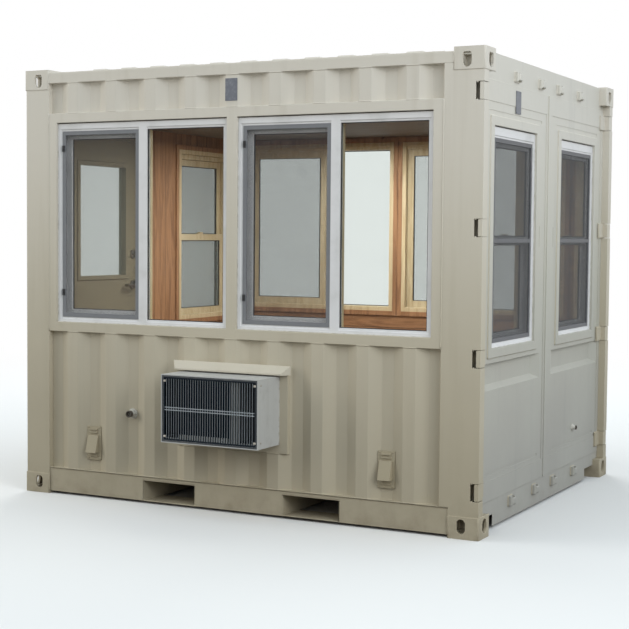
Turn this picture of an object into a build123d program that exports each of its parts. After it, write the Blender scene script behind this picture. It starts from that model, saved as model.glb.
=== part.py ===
"""Security guard booth made from a ten foot steel shipping container.

Millimetres, +Z up. The origin is the middle of the footprint, on the plane of the
corner castings' feet. X runs along the booth, with the closed end that holds the
personnel door at -X and the old cargo doors at +X. The front wall is at -Y.
"""
from build123d import *
from math import atan, degrees
import os

# Overall size of the container and its corner castings
LENGTH = 2991.0
WIDTH = 2438.0
HEIGHT = 2591.0
CASTING_X = 178.0
CASTING_Y = 162.0
CASTING_Z = 118.0
CASTING_PLATE = 28.0
CASTING_WALL = 16.0
CASTING_BACK = 8.0
CASTING_ROUND = 9.0
SLOT_LENGTH = 124.0
SLOT_WIDTH = 63.5
SLOT_FROM_END = 101.5
SLOT_FROM_SIDE = 89.0
SIDE_HOLE_WIDTH = 51.0
END_HOLE_WIDTH = 63.5
FACE_HOLE_HEIGHT = 79.0
FACE_HOLE_CENTRE = 67.0
SHIELD_CORNER = 14.0

# Steel frame
FACE_SETBACK = 4.0
PLATE = 6.0
CLOSED_POST_WIDTH = 174.0
DOOR_POST_WIDTH = 226.0
DOOR_POST_RETURN = 67.0
POST_BEND = 14.0
RAIL_BOTTOM = 16.0
RAIL_TOP = 164.0
RAIL_SETBACK = 10.0
RAIL_SHEET = 5.0
RAIL_TOP_FLANGE = 57.0
RAIL_LIP = 6.0
RAIL_BOTTOM_FLANGE = 40.0
TOP_RAIL = 60.0
TOP_RAIL_WALL = 4.0
TOP_RAIL_DROP = 23.0
END_MEMBER = 60.0
END_HEADER_DROP = 6.0
END_HEADER_HEIGHT = 100.0
DOOR_RECESS = 50.0
SILL_BOTTOM = 14.0
SILL_TOP = 162.0
SILL_NOTCH_WIDTH = 187.0
SILL_NOTCH_HEIGHT = 66.0
DOOR_HEADER_DROP = 4.0
DOOR_HEADER_HEIGHT = 147.0

# Floor and what is under it
FLOOR_TOP = 170.0
FLOOR_THICK = 28.0
FLOOR_EDGE_GAP = 2.0
MEMBER_FLANGE = 45.0
MEMBER_SHEET = 4.0
MEMBERS_PER_BAY = 2
POCKET_WIDTH = 355.0
POCKET_SPACING = 939.0
POCKET_CENTRE_X = 22.0
POCKET_STRAP = 200.0
STRAP_LOW = 14.0

# Corrugated side walls, end wall and roof
SHEET = 2.0
WALL_SETBACK = 6.0
SIDE_DEPTH = 36.0
SIDE_OUTER = 72.0
SIDE_SLOPE = 68.0
SIDE_INNER = 70.0
SIDE_BEND = 14.0
END_SETBACK = 7.5
END_DEPTH = 45.0
END_OUTER = 110.0
END_SLOPE = 18.0
END_INNER = 104.0
END_BEND = 8.0
ROOF_PITCH = 205.5
ROOF_FIRST_PAD = 508.0
ROOF_PAD_TOP = 91.0
ROOF_PAD_SLOPE = 13.5
ROOF_PAD_RISE = 18.0
ROOF_PAD_MARGIN = 50.0

# Window openings and their welded steel surrounds
SURROUND_FACE = 58.0
SURROUND_DEPTH = 50.0
SURROUND_MULLION = 68.0
SURROUND_PROUD = 2.0
BAND_BOTTOM = 1004.0
BAND_DROP = 265.0
HUNG_WIDTH = 714.0
HUNG_BOTTOM = 995.0
HUNG_DROP = 390.0
HUNG_SURROUND_FACE = 50.0
HUNG_SURROUND_PROUD = 5.0
DOOR_WINDOW_FROM_POST = 560.0
END_WINDOW_FROM_POST = 7.5

# Vinyl windows
FRAME_RECESS = 15.0
FRAME_DEPTH = 72.0
FRAME_STEP = 12.0
FRAME_STEP_DEPTH = 6.0
HEAD_GAP = 5.0
SLIDER_FACE = 32.0
SLIDER_HEAD_FACE = 46.0
HUNG_FACE = 38.0
HUNG_SILL_FACE = 28.0
HUNG_HEAD_FACE = 58.0
STILE_WIDTH = 57.0
STILE_DEPTH = 28.0
STILE_OFFSET = 18.0
SASH_FACE = 46.0
SASH_DEPTH = 26.0
SASH_TRACK = 38.0
GLASS = 6.0
GLASS_TRACK = 12.0
SCREEN_FACE = 24.0
SCREEN_DEPTH = 9.0
SCREEN_TRACK = 2.0
UPPER_SASH_TRACK = 13.0
LOWER_SASH_TRACK = 41.0

# Wood lining inside
SIDE_TRIM_RETURN = 10.0
CLOSED_TRIM_RETURN = 28.0
DOOR_TRIM_RETURN = 21.5
LINING = 12.0
CEILING_DROP = 281.0
TRIM_WIDTH = 30.0
TRIM_PROUD = 10.0

# Personnel door in the closed end
LEAF_WIDTH = 813.0
LEAF_THICK = 44.0
LEAF_BOTTOM = 195.0
LEAF_SETBACK = 14.0
LEAF_GAP = 5.0
DOOR_HEADROOM = 364.0
DOOR_FROM_POST = 78.0
STOP_GAP = 5.0
JAMB_FACE = 50.0
JAMB_STOP = 14.0
THRESHOLD_GAP = 5.0
LATCH_TUBE = 50.0
LITE_STILE = 155.0
LITE_BOTTOM = 1325.0
LITE_HEAD_RAIL = 184.0
LITE_MOULDING = 30.0
LITE_PROUD = 7.0
LITE_BEVEL = 4.0
LITE_GLASS = 20.0
LEVER_Z = 1255.0
LEVER_BACKSET = 66.0
LEVER_LENGTH = 111.0
LEVER_REACH = 43.0
LEVER_RADIUS = 9.0
LEVER_RETURN = 22.0
SPINDLE_RADIUS = 6.0
SPINDLE_CLEARANCE = 0.3
ROSE_RADIUS = 31.0
ROSE_THICK = 9.0
ROSE_BEVEL = 2.5
DEADBOLT_Z = 1463.0
THUMB_TURN = 34.0
THUMB_TURN_THICK = 7.0
THUMB_TURN_REACH = 16.0
HINGE_RADIUS = 7.5
HINGE_HEIGHT = 100.0
HINGE_COUNT = 3
HINGE_INSET = 230.0
HINGE_SPACE = 0.5
HINGE_LEAF = 34.0
HINGE_PLATE = 2.5

# Cargo doors, welded shut
CARGO_GAP = 3.0
CARGO_MEETING_GAP = 4.0
CARGO_DEPTH = 50.0
CARGO_PROUD = 3.0
CARGO_STILE = 50.0
CARGO_RAIL = 110.0
PANEL_RECESS = 3.0
PANEL_SHEET = 4.0
MEETING_STRIP = 44.0
MEETING_STRIP_THICK = 5.0
TROUGH_LOW = 605.0
TROUGH_HEIGHT = 147.0
TROUGH_HINGE_MARGIN = 54.0
TROUGH_MEETING_MARGIN = 103.0
TROUGH_DEPTH = 28.0
TROUGH_END_SLOPE = 100.0
TROUGH_TOP_SLOPE = 8.0
TROUGH_BOTTOM_SLOPE = 30.0
SWAGE_WIDTH = 20.0
SWAGE_DEPTH = 2.5
SWAGE_MARGIN = 128.0
LOW_SWAGE = 146.0
HIGH_SWAGE = 167.0
MARK_HEIGHT = 126.0
MARK_WIDTH = 7.0
MARK_Z = 1604.0
FRONT_MARKS = (147.0, 1080.0)
REAR_MARKS = (114.0, 1003.0)
HINGE_LUG_HEIGHT = 92.0
HINGE_LUG_PLAY = 2.0
HINGE_NOTCH_BACK = 51.5
HINGE_LUG_BACK = 30.0
HINGE_LUG_EDGE = 2.0
HINGE_STRAP_LAP = 20.0
HINGE_STRAP_REACH = 90.0
HINGE_STRAP_THICK = 12.0
LOW_HINGES = (87.5, 794.5)
HIGH_HINGES = (790.0, 77.5)
KEEPER_WIDTH = 70.0
KEEPER_HEIGHT = 56.0
KEEPER_DEPTH = 30.0
KEEPER_BEVEL = 12.0
KEEPER_FROM_DOOR = 50.0
KEEPER_Y = (174.0, 590.0)

# Air conditioner through the front wall
AC_CENTRE_X = -24.0
AC_WIDTH = 632.0
AC_HEIGHT = 388.0
AC_BOTTOM = 420.0
AC_PROJECTION = 242.0
AC_DEPTH = 430.0
AC_SHELL = 3.0
AC_FLANGE = 14.0
AC_FLANGE_DEPTH = 20.0
AC_CLEAR = 3.0
AC_SURROUND_FACE = 51.0
GRILLE_BORDER = 8.0
GRILLE_SETBACK = 2.0
GRILLE_DEPTH = 10.0
FIN_PITCH = 16.0
FIN = 3.0
ROD = 4.0
ROD_SPACING = 15.0
COIL_LEFT = 108.0
COIL_WIDTH = 333.0
COIL_BACK = 32.0
COIL_DEPTH = 90.0
DIVIDER_WIDTH = 54.0
END_PLATE_WIDTH = 13.0
PAN_HEIGHT = 24.0
HOOD_OVERHANG = 72.0
HOOD_REACH = 46.0
HOOD_FALL = 42.0
HOOD_LIP = 9.0
HOOD_MITRE = 38.0
HOOD_GAP = 9.0
HOOD_SHEET = 3.0

# Small fittings in the front wall and on the rear cargo door
COVER_PAN = 1
COVER_WIDTH = 102.0
COVER_HEIGHT = 205.0
COVER_BOTTOM = 230.0
COVER_PLATE = 6.0
COVER_ROUND = 8.0
SCOOP_WIDTH = 74.0
SCOOP_TOP = 150.0
SCOOP_BOTTOM = 46.0
SCOOP_REACH = 38.0
SCOOP_SHOULDER = 10.0
SCOOP_WALL = 3.0
RIDGE_WIDTH = 57.0
RIDGE_HEIGHT = 8.0
RIDGE_PROUD = 9.0
RIDGE_LEVELS = (24.0, 168.0, 186.0)
STUB_PAN = 2
STUB_Z = 529.0
STUB_FLANGE_RADIUS = 31.0
STUB_FLANGE = 8.0
STUB_HEX_RADIUS = 26.0
STUB_HEX_THICK = 12.0
STUB_RADIUS = 20.0
STUB_BORE = 15.0
STUB_REACH = 52.0
DOOR_STUB_Y = 575.0
DOOR_STUB_Z = 392.0
DOOR_STUB_RADIUS = 22.0
DOOR_STUB_FLANGE = 6.0
DOOR_STUB_PIPE = 14.0
DOOR_STUB_BORE = 10.0
DOOR_STUB_REACH = 30.0

# Cuts run this far past a face
PAST = 1.0

# Places worked out from the values above
END = LENGTH / 2
SIDE = WIDTH / 2
INNER_CASTING_X = END - CASTING_X
INNER_CASTING_Y = SIDE - CASTING_Y
POST_FACE_X = END - FACE_SETBACK
POST_FACE_Y = SIDE - FACE_SETBACK
CLOSED_POST_INNER_X = -(POST_FACE_X - CLOSED_POST_WIDTH)
CLOSED_POST_INNER_Y = POST_FACE_Y - CLOSED_POST_WIDTH
DOOR_POST_INNER_X = POST_FACE_X - DOOR_POST_WIDTH
DOOR_POST_INNER_Y = POST_FACE_Y - DOOR_POST_RETURN
TOP_RAIL_TOP = HEIGHT - TOP_RAIL_DROP
TOP_RAIL_BOTTOM = TOP_RAIL_TOP - TOP_RAIL
END_HEADER_TOP = HEIGHT - END_HEADER_DROP
END_HEADER_BOTTOM = END_HEADER_TOP - END_HEADER_HEIGHT
DOOR_HEADER_TOP = HEIGHT - DOOR_HEADER_DROP
DOOR_HEADER_BOTTOM = DOOR_HEADER_TOP - DOOR_HEADER_HEIGHT
WALL_FACE = SIDE - WALL_SETBACK
END_FACE = END - END_SETBACK
DOOR_FACE = END - DOOR_RECESS
CARGO_FACE = DOOR_FACE + CARGO_PROUD
CARGO_BOTTOM = SILL_TOP + CARGO_GAP
CARGO_TOP = DOOR_HEADER_BOTTOM - CARGO_GAP
HINGE_LEVELS = ([CARGO_BOTTOM + level for level in LOW_HINGES]
                + [CARGO_TOP - level for level in HIGH_HINGES])
RAIL_WEB = SIDE - RAIL_SETBACK
WALL_LENGTH = DOOR_POST_INNER_X - CLOSED_POST_INNER_X
WALL_CENTRE_X = (DOOR_POST_INNER_X + CLOSED_POST_INNER_X) / 2
SIDE_PITCH = SIDE_OUTER + 2 * SIDE_SLOPE + SIDE_INNER
SIDE_COUNT = int((WALL_LENGTH - SIDE_INNER) // SIDE_PITCH)
END_PITCH = END_OUTER + 2 * END_SLOPE + END_INNER
SURROUND_FRONT = WALL_FACE + SURROUND_PROUD
FRAME_FRONT = SURROUND_FRONT - FRAME_RECESS
BAND_TOP = HEIGHT - BAND_DROP
WINDOW_BOTTOM = BAND_BOTTOM + SURROUND_FACE
WINDOW_TOP = BAND_TOP - SURROUND_FACE
WINDOW_WIDTH = (WALL_LENGTH - 2 * SURROUND_FACE - SURROUND_MULLION) / 2
WINDOW_LEFTS = (CLOSED_POST_INNER_X + SURROUND_FACE, DOOR_POST_INNER_X - SURROUND_FACE - WINDOW_WIDTH)
SLIDER_TOP = WINDOW_TOP - HEAD_GAP
HUNG_TOP = HEIGHT - HUNG_DROP
HUNG_FRAME_TOP = HUNG_TOP - HEAD_GAP
HUNG_FRONT = CARGO_FACE + HUNG_SURROUND_PROUD
LINING_FACE_Y = FRAME_FRONT - FRAME_DEPTH - SIDE_TRIM_RETURN
LINING_FACE_CLOSED = END_FACE - FRAME_RECESS - FRAME_DEPTH - CLOSED_TRIM_RETURN
LINING_FACE_DOORS = HUNG_FRONT - FRAME_RECESS - FRAME_DEPTH - DOOR_TRIM_RETURN
CEILING = HEIGHT - CEILING_DROP
OPENING_HINGE_Y = -CLOSED_POST_INNER_Y + DOOR_FROM_POST + JAMB_FACE
LEAF_HINGE_Y = OPENING_HINGE_Y + LEAF_GAP
LEAF_LATCH_Y = LEAF_HINGE_Y + LEAF_WIDTH
LEAF_CENTRE_Y = LEAF_HINGE_Y + LEAF_WIDTH / 2
LEAF_TOP = HEIGHT - DOOR_HEADROOM
LEAF_OUTER = -(END_FACE - LEAF_SETBACK)
LEAF_INNER = LEAF_OUTER + LEAF_THICK
LITE_WIDTH = LEAF_WIDTH - 2 * LITE_STILE
LITE_TOP = LEAF_TOP - LITE_HEAD_RAIL
OPENING_LATCH_Y = LEAF_LATCH_Y + LEAF_GAP
OPENING_TOP = LEAF_TOP + LEAF_GAP
FRAME_HINGE_Y = OPENING_HINGE_Y - JAMB_FACE
FRAME_LATCH_Y = OPENING_LATCH_Y + JAMB_FACE
FRAME_TOP = OPENING_TOP + JAMB_FACE
SURROUND_LATCH_Y = FRAME_LATCH_Y + LATCH_TUBE
SURROUND_TOP = FRAME_TOP + LATCH_TUBE
THRESHOLD_TOP = LEAF_BOTTOM - THRESHOLD_GAP
SPINDLE_Y = LEAF_LATCH_Y - LEVER_BACKSET
MEMBER_BOTTOM = RAIL_BOTTOM + RAIL_SHEET
MEMBER_TOP = FLOOR_TOP - FLOOR_THICK
END_SILL_FACE = -(END_FACE - FACE_SETBACK)
POCKET_CENTRES = (POCKET_CENTRE_X - POCKET_SPACING / 2, POCKET_CENTRE_X + POCKET_SPACING / 2)
AC_LEFT = AC_CENTRE_X - AC_WIDTH / 2
AC_RIGHT = AC_CENTRE_X + AC_WIDTH / 2
AC_TOP = AC_BOTTOM + AC_HEIGHT
AC_FACE = -WALL_FACE - AC_PROJECTION
END_WINDOW_HIGH = CLOSED_POST_INNER_Y - END_WINDOW_FROM_POST
END_WINDOW = (END_WINDOW_HIGH - HUNG_WIDTH, END_WINDOW_HIGH)


def block(x0, x1, y0, y1, z0, z1):
    """A box between two corners."""
    centre = Pos((x0 + x1) / 2, (y0 + y1) / 2, (z0 + z1) / 2)
    return centre * Box(abs(x1 - x0), abs(y1 - y0), abs(z1 - z0))


def ring_y(x0, x1, z0, z1, side, bottom, top, y0, y1):
    """A four-sided frame that lies in a side wall."""
    hole = block(x0 + side, x1 - side, y0 - PAST, y1 + PAST, z0 + bottom, z1 - top)
    return block(x0, x1, y0, y1, z0, z1) - hole


def ring_x(y0, y1, z0, z1, side, bottom, top, x0, x1):
    """A four-sided frame that lies in an end wall."""
    hole = block(x0 - PAST, x1 + PAST, y0 + side, y1 - side, z0 + bottom, z1 - top)
    return block(x0, x1, y0, y1, z0, z1) - hole


def facing_front(x, y, z):
    """A sketch plane in the front wall, with the sketch's Y pointing up and its normal outwards."""
    return Plane(origin=(x, y, z), x_dir=(1, 0, 0), z_dir=(0, -1, 0))


def facing_end(x, y, z, outward=1):
    """A sketch plane in an end wall, with the sketch's Y pointing up and its normal outwards."""
    return Plane(origin=(x, y, z), x_dir=(0, outward, 0), z_dir=(outward, 0, 0))


def both_sides(part):
    """The part and its mirror image across the booth's length."""
    return [part, mirror(part, about=Plane.XZ)]


def write(name, solids):
    """One STEP file for one node."""
    if not isinstance(solids, list):
        solids = [solids]
    bodies = [solid for item in solids for solid in item.solids()]
    shape = bodies[0] if len(bodies) == 1 else Compound(children=bodies)
    export_step(shape, "parts/" + name + ".step")


def face_hole(width, top):
    """Outline of a casting's face hole: an upright slot, or a shield on a top casting."""
    if not top:
        return Rot(0, 0, 90) * SlotOverall(FACE_HOLE_HEIGHT, width)
    low = width / 2 - FACE_HOLE_HEIGHT / 2
    high = FACE_HOLE_HEIGHT / 2
    body = Pos(0, (low + high) / 2) * Rectangle(width, high - low)
    return fillet(body.vertices().group_by(Axis.Y)[-1], SHIELD_CORNER) + Pos(0, low) * Circle(width / 2)


def casting(along, across, top):
    """One corner casting: a hollow block with a slot and two face holes."""
    level = HEIGHT - CASTING_Z if top else 0
    x0 = along * END
    x1 = along * INNER_CASTING_X
    y0 = across * SIDE
    y1 = across * INNER_CASTING_Y
    body = fillet(block(x0, x1, y0, y1, level, level + CASTING_Z).edges().filter_by(Axis.Z), CASTING_ROUND)
    low = level + (CASTING_BACK if top else CASTING_PLATE)
    high = level + CASTING_Z - (CASTING_PLATE if top else CASTING_BACK)
    body -= block(x0 - along * CASTING_WALL, x1 + along * CASTING_WALL,
                  y0 - across * CASTING_WALL, y1 + across * CASTING_WALL, low, high)
    slot_x = along * (END - SLOT_FROM_END)
    slot_y = across * (SIDE - SLOT_FROM_SIDE)
    slot = SlotOverall(SLOT_LENGTH, SLOT_WIDTH)
    slot_level = high - PAST if top else level - PAST
    body -= Pos(slot_x, slot_y, slot_level) * extrude(slot, CASTING_PLATE + 2 * PAST)
    hole_z = HEIGHT - FACE_HOLE_CENTRE if top else FACE_HOLE_CENTRE
    cut = CASTING_WALL + PAST
    body -= extrude(facing_front(slot_x, y0, hole_z) * face_hole(SIDE_HOLE_WIDTH, top), cut, both=True)
    body -= extrude(facing_end(x0, slot_y, hole_z) * face_hole(END_HOLE_WIDTH, top), cut, both=True)
    return body


def corner_castings(top):
    return [casting(along, across, top) for along in (-1, 1) for across in (-1, 1)]


def closed_end_posts():
    """Pressed corner posts with a lip along each free edge."""
    x0 = -POST_FACE_X
    x1 = CLOSED_POST_INNER_X
    y0 = -POST_FACE_Y
    y1 = -CLOSED_POST_INNER_Y
    lip_y = -(WALL_FACE - SIDE_DEPTH - SHEET)
    lip_x = -(END_FACE - END_DEPTH - SHEET)
    outline = Polyline((x1, y0), (x0, y0), (x0, y1), (lip_x, y1), (lip_x, y1 - PLATE),
                       (x0 + PLATE, y1 - PLATE), (x0 + PLATE, y0 + PLATE), (x1 - PLATE, y0 + PLATE),
                       (x1 - PLATE, lip_y), (x1, lip_y), close=True)
    post = Pos(0, 0, CASTING_Z) * extrude(make_face(outline), HEIGHT - 2 * CASTING_Z)
    post -= block(x0 - PAST, lip_x + PAST, -INNER_CASTING_Y, y1 + PAST, CASTING_Z - PAST, RAIL_TOP)
    corner = post.edges().filter_by(Axis.Z).sort_by_distance((x0, y0, HEIGHT / 2))[0]
    return both_sides(fillet(corner, POST_BEND - PLATE))


def door_end_posts():
    """Wider posts with a box at the outer edge that the cargo doors hang on."""
    x0 = DOOR_POST_INNER_X
    x1 = POST_FACE_X
    y0 = -POST_FACE_Y
    y1 = -DOOR_POST_INNER_Y
    lip_y = -(WALL_FACE - SIDE_DEPTH - SHEET)
    low = CASTING_Z
    high = HEIGHT - CASTING_Z
    post = block(x0, x1, y0, y0 + PLATE, low, high)
    post += block(x0, x0 + PLATE, y0, lip_y, low, high)
    post += block(x0, INNER_CASTING_X, y0, y0 + PLATE, high, TOP_RAIL_BOTTOM)
    post += block(x0, x0 + PLATE, y0, lip_y, high, TOP_RAIL_BOTTOM)
    post += block(x1 - PLATE, x1, y0, y1, low, high)
    back = DOOR_FACE - END_MEMBER
    post += block(back, x1, y1 - PLATE, y1, low, high)
    post += block(back, back + PLATE, y0, y1, low, high)
    post -= block(x0 - PAST, INNER_CASTING_X, y0 - PAST, lip_y + PAST, low - PAST, RAIL_TOP)
    reach = HINGE_LUG_HEIGHT / 2 + HINGE_LUG_PLAY
    for level in HINGE_LEVELS:
        post -= block(END - HINGE_NOTCH_BACK, END, y0 - PAST, y1 + PAST, level - reach, level + reach)
    return both_sides(post)


def bottom_side_rails():
    """Channel rails from casting to casting, cut away at the two fork pockets."""
    web = -RAIL_WEB
    x0 = -INNER_CASTING_X
    x1 = INNER_CASTING_X
    rail = block(x0, x1, web, web + RAIL_SHEET, RAIL_BOTTOM, RAIL_TOP)
    rail += block(x0, x1, web - RAIL_LIP, web + RAIL_TOP_FLANGE, RAIL_TOP - RAIL_SHEET, RAIL_TOP)
    rail += block(x0, x1, web, web + RAIL_BOTTOM_FLANGE, RAIL_BOTTOM, RAIL_BOTTOM + RAIL_SHEET)
    reach = POCKET_WIDTH / 2 + PLATE
    for centre in POCKET_CENTRES:
        rail -= block(centre - reach, centre + reach, web - PAST, web + RAIL_BOTTOM_FLANGE + PAST,
                      RAIL_BOTTOM - PAST, MEMBER_TOP)
    return both_sides(rail)


def top_side_rails():
    """Square tube rails under the edges of the roof."""
    y0 = -POST_FACE_Y
    outer = block(-INNER_CASTING_X, INNER_CASTING_X, y0, y0 + TOP_RAIL, TOP_RAIL_BOTTOM, TOP_RAIL_TOP)
    wall = TOP_RAIL_WALL
    inner = block(-INNER_CASTING_X - PAST, INNER_CASTING_X + PAST, y0 + wall, y0 + TOP_RAIL - wall,
                  TOP_RAIL_BOTTOM + wall, TOP_RAIL_TOP - wall)
    return both_sides(outer - inner)


def closed_end_sill():
    face = END_SILL_FACE
    sill = block(face, face + END_MEMBER, -INNER_CASTING_Y, INNER_CASTING_Y, RAIL_BOTTOM, RAIL_TOP)
    sill -= block(face + PLATE, face + END_MEMBER + PAST, -INNER_CASTING_Y - PAST, INNER_CASTING_Y + PAST,
                  RAIL_BOTTOM + PLATE, RAIL_TOP - PLATE)
    return sill


def closed_end_header():
    face = -POST_FACE_X
    header = block(face, face + END_MEMBER, -INNER_CASTING_Y, INNER_CASTING_Y,
                   END_HEADER_BOTTOM, END_HEADER_TOP)
    header -= block(face + PLATE, face + END_MEMBER - PLATE, -INNER_CASTING_Y - PAST, INNER_CASTING_Y + PAST,
                    END_HEADER_BOTTOM + PLATE, END_HEADER_TOP - PLATE)
    return header


def door_sill():
    """Sill under the cargo doors, notched beside the castings."""
    back = DOOR_FACE - END_MEMBER
    sill = block(back, DOOR_FACE, -INNER_CASTING_Y, INNER_CASTING_Y, SILL_BOTTOM, SILL_TOP)
    sill += block(back, DOOR_FACE, -DOOR_POST_INNER_Y, DOOR_POST_INNER_Y, CASTING_Z, SILL_TOP)
    sill -= block(back - PAST, DOOR_FACE - PLATE, -DOOR_POST_INNER_Y - PAST, DOOR_POST_INNER_Y + PAST,
                  SILL_BOTTOM - PAST, SILL_TOP - PLATE)
    for across in (-1, 1):
        y0 = across * INNER_CASTING_Y
        y1 = y0 - across * SILL_NOTCH_WIDTH
        sill -= block(back - PAST, DOOR_FACE + PAST, y0, y1,
                      SILL_BOTTOM - PAST, SILL_BOTTOM + SILL_NOTCH_HEIGHT)
    return sill


def door_header():
    """Header over the cargo doors, between the castings and the posts."""
    back = DOOR_FACE - END_MEMBER
    header = block(back, DOOR_FACE, -INNER_CASTING_Y, INNER_CASTING_Y, DOOR_HEADER_BOTTOM, DOOR_HEADER_TOP)
    header += block(back, DOOR_FACE, -DOOR_POST_INNER_Y, DOOR_POST_INNER_Y,
                    DOOR_HEADER_BOTTOM, HEIGHT - CASTING_Z)
    header -= block(back - PAST, DOOR_FACE - PLATE, -DOOR_POST_INNER_Y - PAST, DOOR_POST_INNER_Y + PAST,
                    DOOR_HEADER_BOTTOM + PLATE, DOOR_HEADER_TOP - PLATE)
    return header


def fork_pockets():
    """Two tunnels across the base, closed below by a strap at each end."""
    tunnels = []
    mouth = RAIL_WEB
    reach = POCKET_WIDTH / 2
    for centre in POCKET_CENTRES:
        x0 = centre - reach - PLATE
        x1 = centre + reach + PLATE
        tunnel = block(x0, x1, -mouth, mouth, MEMBER_TOP - PLATE, MEMBER_TOP)
        for side in (-1, 1):
            wall = centre + side * reach
            tunnel += block(wall, wall + side * PLATE, -mouth, mouth, STRAP_LOW, MEMBER_TOP)
            tunnel += block(x0, x1, side * mouth, side * (mouth - POCKET_STRAP), STRAP_LOW, STRAP_LOW + PLATE)
        tunnels.append(tunnel)
    return tunnels


def cross_members():
    """Pressed channels that carry the floor between the sills and the pockets."""
    left, right = POCKET_CENTRES
    reach = POCKET_WIDTH / 2 + PLATE
    bays = ((END_SILL_FACE + END_MEMBER, left - reach), (left + reach, right - reach),
            (right + reach, DOOR_FACE - END_MEMBER))
    inner = RAIL_WEB - RAIL_SHEET
    members = []
    for start, stop in bays:
        step = (stop - start) / (MEMBERS_PER_BAY + 1)
        for index in range(MEMBERS_PER_BAY):
            x = start + step * (index + 1) - MEMBER_FLANGE / 2
            member = block(x, x + MEMBER_SHEET, -inner, inner, MEMBER_BOTTOM, MEMBER_TOP)
            member += block(x, x + MEMBER_FLANGE, -inner, inner, MEMBER_BOTTOM, MEMBER_BOTTOM + MEMBER_SHEET)
            member += block(x, x + MEMBER_FLANGE, -inner, inner, MEMBER_TOP - MEMBER_SHEET, MEMBER_TOP)
            members.append(member)
    return members


def floor():
    """Plywood floor between the side rails."""
    edge = RAIL_WEB - RAIL_TOP_FLANGE - FLOOR_EDGE_GAP
    return block(END_SILL_FACE + END_MEMBER, DOOR_FACE - END_MEMBER, -edge, edge, MEMBER_TOP, FLOOR_TOP)


def corrugation(start, stop, outer, slope, inner, depth):
    """Points of a corrugated line with its raised flats at 0 and its pans at the depth."""
    pitch = outer + 2 * slope + inner
    count = int((stop - start - inner) // pitch)
    x = start + (stop - start - count * pitch + inner) / 2
    points = [(start, depth)]
    for index in range(count):
        points += [(x, depth), (x + slope, 0), (x + slope + outer, 0), (x + 2 * slope + outer, depth)]
        x += pitch
    points.append((stop, depth))
    return points


def pressed_sheet(line, bend, low, high):
    """A sheet pressed along a line of points, with rounded bends, its thickness to +Y."""
    outside = FilletPolyline(*line, radius=bend)
    inside = Pos(0, SHEET) * outside
    ends = [Line(outside @ place, inside @ place) for place in (0, 1)]
    return Pos(0, 0, low) * extrude(make_face([outside, inside, *ends]), high - low)


def side_sheet(low, high):
    """Corrugated side wall sheet between the posts, from one level to another."""
    line = corrugation(CLOSED_POST_INNER_X, DOOR_POST_INNER_X, SIDE_OUTER, SIDE_SLOPE, SIDE_INNER, SIDE_DEPTH)
    return Pos(0, -WALL_FACE) * pressed_sheet(line, SIDE_BEND, low, high)


def front_wall():
    """Lower sheet with the air conditioner's cut-out, and the strip over the windows."""
    lower = side_sheet(RAIL_TOP, BAND_BOTTOM)
    face = AC_SURROUND_FACE + AC_CLEAR
    lower -= block(AC_LEFT - face, AC_RIGHT + face, -SIDE, -WALL_FACE + SIDE_DEPTH + SHEET + PAST,
                   AC_BOTTOM - AC_SURROUND_FACE, AC_TOP + face)
    return [lower, side_sheet(BAND_TOP, TOP_RAIL_BOTTOM)]


def rear_wall():
    lower = mirror(side_sheet(RAIL_TOP, BAND_BOTTOM), about=Plane.XZ)
    upper = mirror(side_sheet(BAND_TOP, TOP_RAIL_BOTTOM), about=Plane.XZ)
    return [lower, upper]


def end_sheet(y0, y1, low, high):
    """Corrugated end wall sheet between two places along Y."""
    line = corrugation(-y1, -y0, END_OUTER, END_SLOPE, END_INNER, END_DEPTH)
    return Pos(-END_FACE, 0) * Rot(0, 0, -90) * pressed_sheet(line, END_BEND, low, high)


def closed_end_wall_rear():
    """End wall from the personnel door to the rear post, with a window cut in it."""
    wall = end_sheet(SURROUND_LATCH_Y, CLOSED_POST_INNER_Y, RAIL_TOP, END_HEADER_BOTTOM)
    face = HUNG_SURROUND_FACE
    wall -= block(-END, -END_FACE + END_DEPTH + SHEET + PAST,
                  END_WINDOW[0] - face, CLOSED_POST_INNER_Y + PAST, HUNG_BOTTOM - face, HUNG_TOP + face)
    return wall


def closed_end_wall_over_door():
    """End wall strip over the personnel door."""
    return end_sheet(-CLOSED_POST_INNER_Y, SURROUND_LATCH_Y, SURROUND_TOP, END_HEADER_BOTTOM)


def roof_panel():
    """Steel roof with a row of stamped raised pads across the booth."""
    x0 = -POST_FACE_X + END_MEMBER
    x1 = DOOR_FACE - END_MEMBER
    half = SIDE - RAIL_SETBACK
    sheet = block(x0, x1, -half, half, TOP_RAIL_TOP, TOP_RAIL_TOP + SHEET)
    for across in (-1, 1):
        for edge, stop in ((x0 - PAST, -INNER_CASTING_X), (x1 + PAST, INNER_CASTING_X)):
            sheet -= block(edge, stop, across * INNER_CASTING_Y, across * SIDE,
                           TOP_RAIL_TOP - PAST, TOP_RAIL_TOP + SHEET + PAST)
    length = 2 * (half - ROOF_PAD_MARGIN)
    angle = degrees(atan(ROOF_PAD_SLOPE / ROOF_PAD_RISE))
    base = ROOF_PAD_TOP + 2 * ROOF_PAD_SLOPE
    first = -END + ROOF_FIRST_PAD
    count = int((INNER_CASTING_X - base / 2 - first) // ROOF_PITCH) + 1
    for index in range(count):
        x = first + index * ROOF_PITCH
        pad = extrude(Rectangle(base, length), ROOF_PAD_RISE, taper=angle)
        hollow = extrude(Rectangle(base - 2 * SHEET, length - 2 * SHEET), ROOF_PAD_RISE, taper=angle)
        sheet += Pos(x, 0, TOP_RAIL_TOP + SHEET) * pad
        sheet -= Pos(x, 0, TOP_RAIL_TOP) * hollow
    return sheet


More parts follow.
